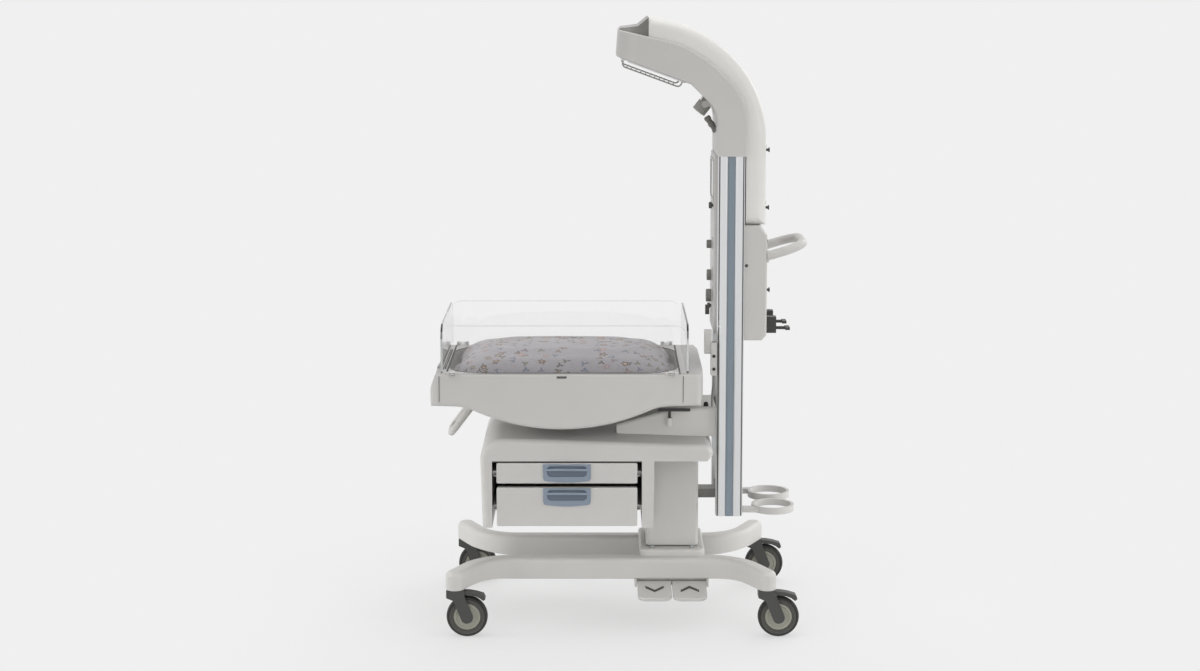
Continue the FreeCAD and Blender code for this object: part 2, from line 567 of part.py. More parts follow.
# Console: moulded housing between the posts, open behind, with a display let into its face
console_y = (f"-{post_inner}", post_inner)
console_body = block("console_body", ("console_front", "post_rear"), console_y,
                     ("console_bottom", "post_top"))
console_room = block("console_room", ("console_front + shell_wall + 6", "post_rear + 1"),
                     (f"{console_y[0]} + shell_wall", f"{console_y[1]} - shell_wall"),
                     ("console_bottom + shell_wall", "post_top - shell_wall"))
display_z = ("post_top - 136", "post_top - 24")
display_room = block("display_room", ("console_front - 1", "console_front + 3"), (-82, 82), display_z)
controls = {
    "oxygen_knob": ("post_top - 279", -45, 13, 19), "flow_knob": ("post_top - 375", -45, 17, 18),
    "pressure_knob": ("post_top - 439", -45, 20, 20), "circuit_lever": ("post_top - 483", 35, 9, 12),
    "alarm_button": ("post_top - 159", -45, 10, 13),
}
control_bores = [
    rod(f"{label}_bore", "x", "5 + running_gap", ("console_front - 1", "console_front + 20"), (y, z))
    for label, (z, y, radius, length) in controls.items()
]
console = soften_all("console_rounded", console_body, 6,
                     lambda edge: edge.CenterOfMass.x < size("console_front") + 1)
node("console", cut("console", console, console_room, display_room, *control_bores))
node("display", block("display", ("console_front - 0.5", "console_front + 3"), (-82, 82), display_z))

# Controls: turned knobs, a button and a short lever on shafts through the console
for label, (z, y, radius, length) in controls.items():
    shaft = rod(f"{label}_shaft", "x", 5, ("console_front - 4", "console_front + 9"), (y, z))
    grip = rod(f"{label}_grip", "x", radius, (f"console_front - {length}", "console_front - 3.5"), (y, z))
    parts = [shaft,
             soften_all(f"{label}_round", grip, 2.5,
                        lambda edge: edge.CenterOfMass.x < size("console_front") - 6)]
    if label == "circuit_lever":
        parts.append(block("lever_arm", ("console_front - 18", "console_front - 5"), (y - 4, y + 4),
                           (f"{z} - 28", f"{z} + 2")))
    node(label, join(label, *parts))

# Rear box: moulded electronics housing behind the posts, with the push handle's sockets
box_outside = prism("box_outside", "XZ", [
    ("post_rear", "box_bottom"), ("box_rear - 14", "box_bottom"), ("box_rear", "box_bottom + 16"),
    ("box_rear", "box_top - 30"), ("box_rear - 22", "box_top"), ("post_rear", "box_top"),
], ("-box_half", "box_half"))
soften(box_outside, 6, lambda edge: abs(abs(edge.CenterOfMass.y) - size("box_half")) < 1
       and edge.CenterOfMass.x > size("post_rear") + 2)
box_inside = block("box_inside", ("post_rear - 1", "box_rear - 8"),
                   ("-box_half + shell_wall", "box_half - shell_wall"),
                   ("box_bottom + 18", "box_top - 32"))
socket_angle = 17
node("rear_box", cut("rear_box", box_outside, box_inside))

# Push handle: one bent tube, a U in plan that rises to the rear, let into the rear box
rise = math.tan(math.radians(socket_angle))


def handle_point(x, y):
    """A point of the handle's sloping plane."""
    return Vector(x, y, size("handle_z") + (x - size("box_rear")) * rise)


tip_x = size("handle_tip") - size("handle_radius")
handle_half = size("handle_half")
handle = bent_tube("push_handle_tube", [
    handle_point(size("box_rear") - 7, -handle_half), handle_point(tip_x, -handle_half),
    handle_point(tip_x, handle_half), handle_point(size("box_rear") - 7, handle_half),
], size("handle_radius"), size("handle_bend"))
flanges = [
    rod(f"handle_flange_{side}", "x", "handle_radius + 5", ("box_rear", "box_rear + 5"),
        (f"{side} * handle_half", "handle_z"))
    for side in (-1, 1)
]
box_body = block("handle_trim", ("post_rear", "box_rear"), ("-box_half", "box_half"),
                 ("handle_z - 60", "handle_z + 60"))
node("push_handle", join("push_handle", cut("push_handle_trimmed", handle, box_body), *flanges))

# Rear fittings: two gas yokes with their clamp screws, and four pegs for cables
fittings = []
for side in (-1, 1):
    y = 62 * side
    yoke = block(f"yoke_{side}", ("box_rear", "box_rear + 34"), (y - 16, y + 16),
                 ("box_bottom + 14", "box_bottom + 64"))
    screw = rod(f"yoke_screw_{side}", "x", 5, ("box_rear + 30", "box_rear + 66"), (y, "box_bottom + 28"))
    wing = block(f"yoke_wing_{side}", ("box_rear + 62", "box_rear + 76"), (y - 22, y + 22),
                 ("box_bottom + 24", "box_bottom + 32"))
    fittings.append(join(f"yoke_set_{side}", yoke, screw, wing))
peg_rows = (("box_top + 49", "spine_rear"), ("box_top + 226", "spine_rear"),
            ("box_bottom + 78", "box_rear"),
            ("box_bottom + 148", "box_rear"))
for i, (level, start) in enumerate(peg_rows):
    for side in (-1, 1):
        stalk = rod(f"peg_{i}_{side}", "x", 4, (start, f"{start} + 12"), (70 * side, level))
        cap = rod(f"peg_cap_{i}_{side}", "x", 7, (f"{start} + 9", f"{start} + 13"), (70 * side, level))
        fittings.append(join(f"peg_set_{i}_{side}", stalk, cap))
node("rear_fittings", group("rear_fittings", *fittings))

# Tank rings: two moulded hoops side by side on arms from the posts
rings = []
for side in (-1, 1):
    at = ("ring_x", f"{side} * ring_y")
    high = "ring_bottom + ring_tall"
    hoop = rod(f"hoop_{side}", "z", "ring_outer", ("ring_bottom", high), at)
    stay = block(f"ring_stay_{side}", ("post_rear", "ring_x - ring_inner + 2"),
                 (side * 122 - 12, side * 122 + 12),
                 ("ring_bottom + 2", f"{high} - 2"))
    web = block(f"ring_web_{side}", ("ring_x - ring_outer - 10", "ring_x - 20"),
                (f"{side} * 122 - 12", f"{side} * 122 + 12"), ("ring_bottom + 2", f"{high} - 2"))
    hole = rod(f"hoop_hole_{side}", "z", "ring_inner", ("ring_bottom - 1", f"{high} + 1"), at)
    rings.append(cut(f"ring_{side}", join(f"ring_solid_{side}", hoop, stay, web), hole))
node("tank_rings", group("tank_rings", *rings))

# Accessory bracket: a clamp block on the right post's edge, with a hook plate and a hose to the arm
bracket_block = block("bracket_block", (284, "post_front"), (-150, -112), (776, 877))
bracket_plate = prism("bracket_plate", "YZ", [(-147, 842), (-115, 842), (-115, 915), (-147, 915)],
                      (264, 286))
soften(bracket_plate, 8, lambda edge: is_line(edge, "x"))
node("accessory_bracket", join("accessory_bracket", bracket_block, bracket_plate))
node("hose", bent_tube("hose", [
    Vector(293, -128, 776), Vector(293, -128, 742), Vector(291, -92, 708), Vector(291, -92, 667.85),
], 3.5, 18))


# Heater head: a broad moulded neck and nose over the posts, with a raised spine behind it
def seam_z(x):
    """Height of the straight front part of the seam between nose and spine, as a formula."""
    return f"(nose_top - 0.236 * ({x} - nose_x - 9))"


seam_bend_x = 235
seam_corners = [(seam_bend_x, seam_z(seam_bend_x)),
                ("neck_rear", f"{seam_z(seam_bend_x)} - neck_rear + {seam_bend_x}")]
rim_rear_z = "(nose_bottom - (rim_rear_x - nose_x) * tan(heater_angle))"
head = prism("head_outside", "XZ", [
    ("nose_x", "nose_bottom"), ("nose_x + 6", "nose_top"), *seam_corners, ("neck_rear", "post_top"),
    ("neck_front", "post_top"), ("neck_front", f"{rim_rear_z} - neck_front + rim_rear_x"),
    ("rim_rear_x", rim_rear_z),
], ("-head_half", "head_half"))
front_x, rear_x, neck_z = size("nose_x") + 20, size("neck_rear"), size("post_top + 52")


def seam_edge(edge, which):
    at_bend = near(edge, x=(seam_bend_x, rear_x)[which])
    return is_line(edge, "y") and at_bend and edge.CenterOfMass.z > neck_z + 60


soften(head, 340, lambda edge: seam_edge(edge, 0))
soften(head, 175, lambda edge: seam_edge(edge, 1))
soften(head, 90, lambda edge: is_line(edge, "y") and near(edge, x=size("neck_front"))
       and edge.CenterOfMass.z > neck_z)
soften(head, 70, lambda edge: edge.CenterOfMass.x < front_x - 10 and abs(edge.CenterOfMass.y) > 100)
soften(head, 5, lambda edge: abs(abs(edge.CenterOfMass.y) - size("head_half")) < 1 and edge.Length > 60
       and edge.CenterOfMass.z > neck_z)
to_rim = Rotation(Vector(0, 1, 0), size("heater_angle"))


def on_rim(thing, along, out):
    """Turn a piece to the heater's slope and set it along and out from the front of the nose's rim."""
    thing.Placement = Placement(Vector(), to_rim)
    return place(thing, f"nose_x + ({along}) * cos(heater_angle) + ({out}) * sin(heater_angle)",
                 thing.Placement.Base.y,
                 f"nose_bottom - ({along}) * sin(heater_angle) + ({out}) * cos(heater_angle)")


def rim_block(name, along, half, out):
    """A box square to the rim: along it, to each side of the middle, and out from it upwards."""
    box = document.addObject("Part::Box", name)
    bind(box, Length=f"({along[1]}) - ({along[0]})", Width=f"2 * ({half})",
         Height=f"({out[1]}) - ({out[0]})")
    on_rim(box, along[0], out[0])
    bind(box, **{"Placement.Base.y": f"-({half})"})
    return box


heater_room = rim_block("heater_room", (18, "18 + heater_long"), "heater_half", (-30, "heater_deep"))
lamp_room = rod("lamp_room", "y", 44, (-27, 27), ("lamp_x", "lamp_z"))
lug_edge = "(lamp_lug_out + lamp_lug_thick / 2)"
lamp_pin = rod("lamp_pin", "y", 4, (f"-{lug_edge}", lug_edge), ("lamp_x", "lamp_z"))
lamp_lugs = []
for side in (-1, 1):
    across = [f"{side} * lamp_lug_out {step} lamp_lug_thick / 2" for step in "-+"]
    lamp_lugs.append(rod(f"lamp_lug_{side}", "y", 11, across, ("lamp_x", "lamp_z")))
    lamp_lugs.append(block(f"lamp_arm_{side}", ("lamp_x", "neck_front + 4"), across,
                           ("lamp_z - 8", "lamp_z + 8")))
node("head_shell", join("head_shell", cut("head_cut", head, heater_room, lamp_room), lamp_pin, *lamp_lugs))

pan = rim_block("pan", (20, "16 + heater_long"), "heater_half - 2", (4, "heater_deep - 0.05"))
pan_room = rim_block("pan_room", (22, "14 + heater_long"), "heater_half - 4", (3, "heater_deep - 2"))
node("heater_reflector", cut("heater_reflector", pan, pan_room))
element = document.addObject("Part::Cylinder", "element")
element.Placement = Placement(Vector(), Rotation(Vector(1, 0, 0), -90))
bind(element, Radius="9", Height="2 * heater_half - 8")
along_element, out_element = "(18 + heater_long / 2)", "22"
place(element, f"nose_x + {along_element} * cos(heater_angle) + {out_element} * sin(heater_angle)",
      "-heater_half + 4",
      f"nose_bottom - {along_element} * sin(heater_angle) + {out_element} * cos(heater_angle)")
node("heater_element", element)


# Heater guard: a grid of welded wires on a bent rail each side, sprung into the reflector
def rim_point(along, y, out):
    angle = math.radians(size("heater_angle"))
    x = size("nose_x") + along * math.cos(angle) + out * math.sin(angle)
    return Vector(x, y, size("nose_bottom") - along * math.sin(angle) + out * math.cos(angle))


guard_half, guard_low = 100, -22
guard_start, guard_end = 24.25, 11.75 + size("heater_long")
wires = []
for side in (-1, 1):
    y = side * guard_half
    wires.append(bent_tube(f"guard_rail_{side}", [
        rim_point(guard_start, y, 8), rim_point(guard_start + 2, y, guard_low),
        rim_point(guard_end - 2, y, guard_low), rim_point(guard_end, y, 8),
    ], 2.2, 12))
for i in range(11):
    spot = rim_point(44 + 15.2 * i, 0, guard_low)
    wires.append(rod(f"guard_wire_{i}", "y", 1.5, (-guard_half - 3, guard_half + 3), (spot.x, spot.z)))
for i, along in enumerate((guard_start, guard_end)):
    spot = rim_point(along, 0, 8)
    wires.append(rod(f"guard_end_{i}", "y", 2.2, (-guard_half - 3, guard_half + 3), (spot.x, spot.z)))
node("heater_guard", join("heater_guard", *wires))

# Head spine: the raised back cover, from behind the alarm lens down to the rear box
ridge_bend, ridge_drop = (245, "ridge_top - 18"), ("spine_rear", "ridge_top - 18 - spine_rear + 245")
spine = prism("spine_body", "XZ", [
    ("ridge_x", "ridge_top"), ridge_bend, ridge_drop, ("spine_rear", "box_top"), ("neck_rear", "box_top"),
    *reversed(seam_corners), ("ridge_x", seam_z("ridge_x")),
], ("-spine_half", "spine_half"))
ridge_z = size("ridge_top")
soften(spine, 400,
       lambda edge: is_line(edge, "y") and near(edge, x=245) and edge.CenterOfMass.z > ridge_z - 65)
soften(spine, 350, lambda edge: is_line(edge, "y") and near(edge, x=size("spine_rear"), z=ridge_z - 222.5))
soften(spine, 340, lambda edge: seam_edge(edge, 0) and edge.CenterOfMass.z < ridge_z - 65)
soften(spine, 175, lambda edge: seam_edge(edge, 1))


def on_ridge(edge):
    """Edges of the side faces along the top and the back."""
    middle = edge.CenterOfMass
    if abs(abs(middle.y) - size("spine_half")) > 1 or edge.Length < 20:
        return False
    on_top = middle.z > ridge_z + 140 - 0.66 * middle.x and middle.x > size("ridge_x") + 5
    return on_top or middle.x > rear_x + 25


soften(spine, 26, on_ridge)
node("head_spine", spine)

# Alarm lens: a crowned smoked window on the nose in front of the spine
lens = prism("lens_body", "XZ", [
    ("nose_x + 9", "nose_top"), ("nose_x + 14", "nose_top + 4"), ("nose_x + 66", "nose_top + 10"),
    ("ridge_x", "ridge_top"), ("ridge_x", seam_z("ridge_x")),
], ("-spine_half", "spine_half"))
lens_plan = prism("lens_plan", "XY", [
    ("nose_x + 8", "-spine_half"), ("ridge_x + 1", "-spine_half"), ("ridge_x + 1", "spine_half"),
    ("nose_x + 8", "spine_half"),
], ("nose_top - 60", "ridge_top + 10"))
soften(lens_plan, 48, lambda edge: is_line(edge, "z") and edge.CenterOfMass.x < 20)
node("alarm_lens", overlap("alarm_lens", lens, lens_plan))

# Exam lamp: a drum on the pin across the neck's recess, aimed at the bed
lamp_turn = Rotation(Vector(0, 1, 0), 218)


def lamp_disc(name, radius, start, long):
    """A cylinder on the lamp's axis, from a distance in front of its pin."""
    disc = document.addObject("Part::Cylinder", name)
    disc.Placement = Placement(Vector(), lamp_turn)
    lean = lamp_turn.multVec(Vector(0, 0, start))
    bind(disc, Radius=radius, Height=long)
    return place(disc, f"lamp_x + {lean.x}", 0, f"lamp_z + {lean.z}")


lamp_discs = [lamp_disc("lamp_drum", 22, -2, 34), lamp_disc("lamp_core", 16, -14, 14)]
lamp_discs += [lamp_disc(f"lamp_fin_{i}", 21, -8 - 5 * i, 2.5) for i in range(2)]
lamp_hole = rod("lamp_hole", "y", "4 + running_gap", (-40, 40), ("lamp_x", "lamp_z"))
node("exam_lamp", cut("exam_lamp", join("lamp_solid", *lamp_discs), lamp_hole))

# Bed: a moulded hull with a curved belly between two end caps, all hollow and open below the middle
outline = prism("bed_outline", "XZ", [
    ("bed_left + foot_flare", "bed_rim"), ("bed_left", "skirt_bottom + 14"),
    ("bed_left + 12", "skirt_bottom"),
    ("belly_left - 14", "skirt_bottom - 3"), ("(belly_left + belly_right) / 2", "belly_corner_z"),
    ("belly_right + 14", "skirt_bottom - 3"), ("bed_right - 14", "skirt_bottom"),
    ("bed_right", "skirt_bottom + 14"),
    ("bed_right - 8", "bed_rim"),
], ("-bed_half", "bed_half"))
soften(outline, "belly_radius", lambda edge: is_line(edge, "y") and near(edge, z=size("belly_corner_z")))
soften(outline, 150, lambda edge: is_line(edge, "y") and near(edge, z=size("skirt_bottom") - 3))
soften(outline, 8, lambda edge: is_line(edge, "y") and near(edge, z=size("skirt_bottom")))
soften(outline, 12, lambda edge: abs(abs(edge.CenterOfMass.y) - size("bed_half")) < 1
       and edge.CenterOfMass.z < size("skirt_bottom") + 2)
soften(outline, 5,
       lambda edge: abs(abs(edge.CenterOfMass.y) - size("bed_half")) < 1 and near(edge, z=size("bed_rim")))
plan = prism("bed_plan", "XY", [
    ("bed_left - 1", "-bed_half"), ("bed_right + 1", "-bed_half"), ("bed_right + 1", "bed_half"),
    ("bed_left - 1", "bed_half"),
], (500, 900))
soften(plan, 34, lambda edge: is_line(edge, "z"))
bow_radius = "(bed_half * bed_half / (2 * bed_bow) + bed_bow / 2)"
foot_bow = rod("foot_bow", "z", bow_radius, (500, 900), (f"bed_left + {bow_radius}", 0))
head_bow = rod("head_bow", "z", bow_radius, (500, 900), (f"bed_right - {bow_radius}", 0))
bed_solid = overlap("bed_solid", overlap("bed_bowed", overlap("bed_rounded", outline, plan), foot_bow),
                    head_bow)
deck_bottom = "deck_top - hull_wall"
wall = "hull_wall"
room_below = prism("room_below", "XZ", [
    (f"foot_seam + {wall}", deck_bottom), (f"foot_seam + {wall}", f"skirt_bottom + {wall}"),
    (f"belly_left + {wall}", f"skirt_bottom - 8 + {wall}"),
    ("(belly_left + belly_right) / 2", f"belly_corner_z + {wall}"),
    (f"belly_right - {wall}", f"skirt_bottom - 8 + {wall}"),
    (f"head_seam - {wall}", f"skirt_bottom + {wall}"),
    (f"head_seam - {wall}", deck_bottom),
], (f"-bed_half + {wall}", f"bed_half - {wall}"))
soften(room_below, "belly_radius - hull_wall", lambda edge: is_line(edge, "y")
       and near(edge, z=size("belly_corner_z") + size("hull_wall")))
arm_way = block("arm_way", ("tilt_x - 90", "bed_right + 1"), (-140, 140), (500, deck_bottom))
well = prism("well", "XY", [
    ("well_left", "-well_half"), ("well_right", "-well_half"), ("well_right", "well_half"),
    ("well_left", "well_half"),
], ("deck_top", "bed_rim + 1"))
soften(well, 112, lambda edge: is_line(edge, "z"))
hull_part = overlap("hull_part", bed_solid,
                    block("hull_zone", ("foot_seam", "head_seam"), (-400, 400), (400, 900)))
hull_open = cut("hull_open", hull_part, room_below, arm_way, well)
ribs = [
    block(f"tilt_rib_{side}", ("tilt_x - 30", "tilt_x + 30"), (68 * side - 5, 68 * side + 5),
          ("tilt_z - 20", "deck_top"))
    for side in (-1, 1)
]
grip_x, grip_z = "belly_left + 6", "skirt_bottom - 30"
grip_ears = [
    block(f"grip_ear_{side}", (f"{grip_x} - 12", f"{grip_x} + 12"), (78 * side - 4, 78 * side + 4),
          (f"{grip_z} - 12", "skirt_bottom + 2"))
    for side in (-1, 1)
]


# Panel hinges: knuckles moulded on the hull and the foot cap, with a steel pin through each pair
hinge_xs = (-500, 160)
foot_hinge_x, foot_hinge_ys = "bed_left + foot_flare + 4", (-150, 150)


def hull_knuckles(x, side):
    knuckles = []
    for end in (-14, 14):
        barrel = rod(f"knuckle_{x}_{side}_{end}", "x", "knuckle_radius", (x + end - 5, x + end + 5),
                     (f"{side} * hinge_out", "hinge_z"))
        reach = sorted((side * (size("bed_half") - 6), side * size("hinge_out")))
        web = block(f"knuckle_web_{x}_{side}_{end}", (x + end - 5, x + end + 5), reach,
                    ("bed_rim - 14", "hinge_z"))
        knuckles += [barrel, web]
    return knuckles


side_knuckles = [piece for x in hinge_xs for side in (-1, 1) for piece in hull_knuckles(x, side)]
side_pin_bores = [
    rod(f"side_pin_bore_{x}_{side}", "x", "hinge_pin_radius", (x - 20, x + 20),
        (f"{side} * hinge_out", "hinge_z"))
    for x in hinge_xs for side in (-1, 1)
]
shaft_bore = rod("shaft_bore", "y", "tilt_shaft_radius", (-90, 90), ("tilt_x", "tilt_z"))
grip_bore = rod("grip_bore", "y", 5, (-90, 90), (grip_x, grip_z))
hull_full = join("hull_full", hull_open, *ribs, *grip_ears, *side_knuckles)
node("bed_hull", cut("bed_hull", hull_full, shaft_bore, grip_bore, *side_pin_bores))

foot_zone = block("foot_zone", (-700, "foot_seam"), (-400, 400), (400, 900))
foot_room = block("foot_room", ("bed_left + foot_flare + 12", "foot_seam + 1"),
                  ("-bed_half + 30", "bed_half - 30"),
                  ("skirt_bottom - 2", "bed_rim - 6"))
foot_knuckles, foot_bores, foot_pins = [], [], []
for y in foot_hinge_ys:
    for end in (-14, 14):
        span = (y + end - 5, y + end + 5)
        foot_knuckles.append(rod(f"foot_knuckle_{span[0]}", "y", "knuckle_radius", span,
                                 (foot_hinge_x, "hinge_z")))
        foot_knuckles.append(block(f"foot_web_{span[0]}", (f"{foot_hinge_x} - 4", f"{foot_hinge_x} + 4"),
                                   span,
                                   ("bed_rim - 4", "hinge_z")))
    foot_bores.append(rod(f"foot_pin_bore_{y}", "y", "hinge_pin_radius", (y - 20, y + 20),
                          (foot_hinge_x, "hinge_z")))
    foot_pins.append(rod(f"foot_pin_{y}", "y", "hinge_pin_radius", (y - 19, y + 19),
                         (foot_hinge_x, "hinge_z")))
foot_part = overlap("foot_part", bed_solid, foot_zone)
foot_cap = cut("foot_cap", join("foot_full", cut("foot_open", foot_part, foot_room), *foot_knuckles),
               *foot_bores)
head_zone = block("head_zone", ("head_seam", 400), (-400, 400), (400, 900))
head_slot = block("head_slot", ("panel_right - panel_thick", "panel_right"),
                  ("-panel_outer + 12", "panel_outer - 12"),
                  ("bed_rim - 16", "bed_rim + 1"))
head_room = block("head_room", ("head_seam - 1", "bed_right - 16"), ("-bed_half + 30", "bed_half - 30"),
                  ("skirt_bottom - 2", "bed_rim - 22"))
head_part = overlap("head_part", bed_solid, head_zone)
head_cap = cut("head_cap", head_part, head_room, arm_way, head_slot)
node("bed_end_caps", group("bed_end_caps", foot_cap, head_cap))

side_pins = [
    rod(f"side_pin_{x}_{side}", "x", "hinge_pin_radius", (x - 19, x + 19),
        (f"{side} * hinge_out", "hinge_z"))
    for x in hinge_xs for side in (-1, 1)
]
tilt_shaft = rod("tilt_shaft", "y", "tilt_shaft_radius", (-73, 73), ("tilt_x", "tilt_z"))
grip_pin = rod("grip_pin", "y", 5, (-82, 82), (grip_x, grip_z))
node("bed_pins", group("bed_pins", tilt_shaft, grip_pin, *side_pins, *foot_pins))

# Tilt handle: a bent grip on the pin under the foot end
grip_top = Vector(size("belly_left") + 6, 0, size("skirt_bottom") - 30)
drop = Vector(-74, 0, -98)
grip_bar = bent_tube("grip_bar", [
    grip_top + Vector(0, -58, 0), grip_top + drop + Vector(0, -58, 0), grip_top + drop + Vector(0, 58, 0),
    grip_top + Vector(0, 58, 0),
], 11, 26)
hubs = [rod(f"grip_hub_{side}", "y", 12, (60 * side - 12, 60 * side + 12),
            (grip_x, grip_z)) for side in (-1, 1)]
hub_bore = rod("hub_bore", "y", "5 + running_gap", (-80, 80), (grip_x, grip_z))
node("tilt_handle", cut("tilt_handle", join("grip_solid", grip_bar, *hubs), hub_bore))


# Mattress: a foam pad with drawn-in sides, round corners and a crowned top
def pad_outline(inset, z):
    """A closed outline with slightly hollow sides and round corners, drawn in by the inset."""
    left, right = size("mattress_left") + inset, size("mattress_right") - inset
    half = size("mattress_half") - inset
    corner = 120 - inset * 0.4
    sag = 5
    middle_x = (left + right) / 2
    turn = corner * (1 - math.sqrt(0.5))
    arcs = [
        ((left + corner, -half), (middle_x, -half + sag), (right - corner, -half)),
        ((right - corner, -half), (right - turn, -half + turn), (right, -half + corner)),
        ((right, -half + corner), (right - sag, 0), (right, half - corner)),
        ((right, half - corner), (right - turn, half - turn), (right - corner, half)),
        ((right - corner, half), (middle_x, half - sag), (left + corner, half)),
        ((left + corner, half), (left + turn, half - turn), (left, half - corner)),
        ((left, half - corner), (left + sag, 0), (left, -half + corner)),
        ((left, -half + corner), (left + turn, -half + turn), (left + corner, -half)),
    ]
    return Part.Wire([Part.Arc(*(Vector(x, y, z) for x, y in arc)).toShape() for arc in arcs])


mattress = document.addObject("Part::Feature", "mattress")
low, high = size("deck_top"), size("mattress_top")
levels = [(7, 0), (0, 0.28), (0, 0.48), (10, 0.72), (38, 0.88), (90, 0.97), (150, 1)]
mattress.Shape = Part.makeLoft([pad_outline(inset, low + (high - low) * part) for inset, part in levels],
                               True, False)
node("mattress", mattress)


# Clear panels: acrylic sheets with rounded upper corners, hinged on the pins at the sides and foot
def side_panel(label, side):
    y = sorted((side * size("panel_outer"), side * (size("panel_outer") - size("panel_thick"))))
    sheet_body = prism(f"{label}_sheet", "XZ", [
        ("panel_left", "hinge_z - 3"), ("panel_right - 8", "hinge_z - 3"), ("panel_right - 8", "panel_top"),
        ("panel_left", "panel_top"),
    ], y)
    soften(sheet_body, "panel_round",
           lambda edge: is_line(edge, "y") and edge.CenterOfMass.z > size("panel_top") - 5)
    pieces = [sheet_body]
    for x in hinge_xs:
        across = (f"{side} * hinge_out", "hinge_z")
        pieces.append(rod(f"{label}_barrel_{x}", "x", "knuckle_radius", (x - 8, x + 8), across))
        reach = sorted((side * size("hinge_out"), side * (size("panel_outer") - 2)))
        pieces.append(block(f"{label}_lug_{x}", (x - 8, x + 8), reach, ("hinge_z - 3", "hinge_z + 4")))
    bores = [
        rod(f"{label}_bore_{x}", "x", "hinge_pin_radius + running_gap", (x - 9, x + 9),
            (f"{side} * hinge_out", "hinge_z"))
        for x in hinge_xs
    ]
    return node(label, cut(label, join(f"{label}_solid", *pieces), *bores))


side_panel("right_panel", -1)
side_panel("left_panel", 1)

panel_inside = "panel_outer - panel_thick - 2"
foot_sheet = prism("foot_sheet", "YZ", [
    (f"-({panel_inside})", "hinge_z - 3"), (panel_inside, "hinge_z - 3"), (panel_inside, "panel_top"),
    (f"-({panel_inside})", "panel_top"),
], ("panel_left", "panel_left + panel_thick"))
soften(foot_sheet, "panel_round",
       lambda edge: is_line(edge, "x") and edge.CenterOfMass.z > size("panel_top") - 5)
foot_pieces, foot_panel_bores = [foot_sheet], []
for y in foot_hinge_ys:
    foot_pieces.append(rod(f"foot_barrel_{y}", "y", "knuckle_radius", (y - 8, y + 8),
                           (foot_hinge_x, "hinge_z")))
    foot_pieces.append(block(f"foot_lug_{y}", (foot_hinge_x, "panel_left + 2"), (y - 8, y + 8),
                             ("hinge_z - 3", "hinge_z + 4")))
    foot_panel_bores.append(rod(f"foot_panel_bore_{y}", "y", "hinge_pin_radius + running_gap",
                                (y - 9, y + 9),
                                (foot_hinge_x, "hinge_z")))
node("foot_panel", cut("foot_panel", join("foot_panel_solid", *foot_pieces), *foot_panel_bores))

head_sheet = prism("head_sheet", "YZ", [
    ("-panel_outer + 12", "bed_rim - 16"), ("panel_outer - 12", "bed_rim - 16"),
    ("panel_outer - 12", "panel_top"),
    ("-panel_outer + 12", "panel_top"),
], ("panel_right - panel_thick", "panel_right"))
soften(head_sheet, "panel_round",
       lambda edge: is_line(edge, "x") and edge.CenterOfMass.z > size("panel_top") - 5)
node("head_panel", head_sheet)


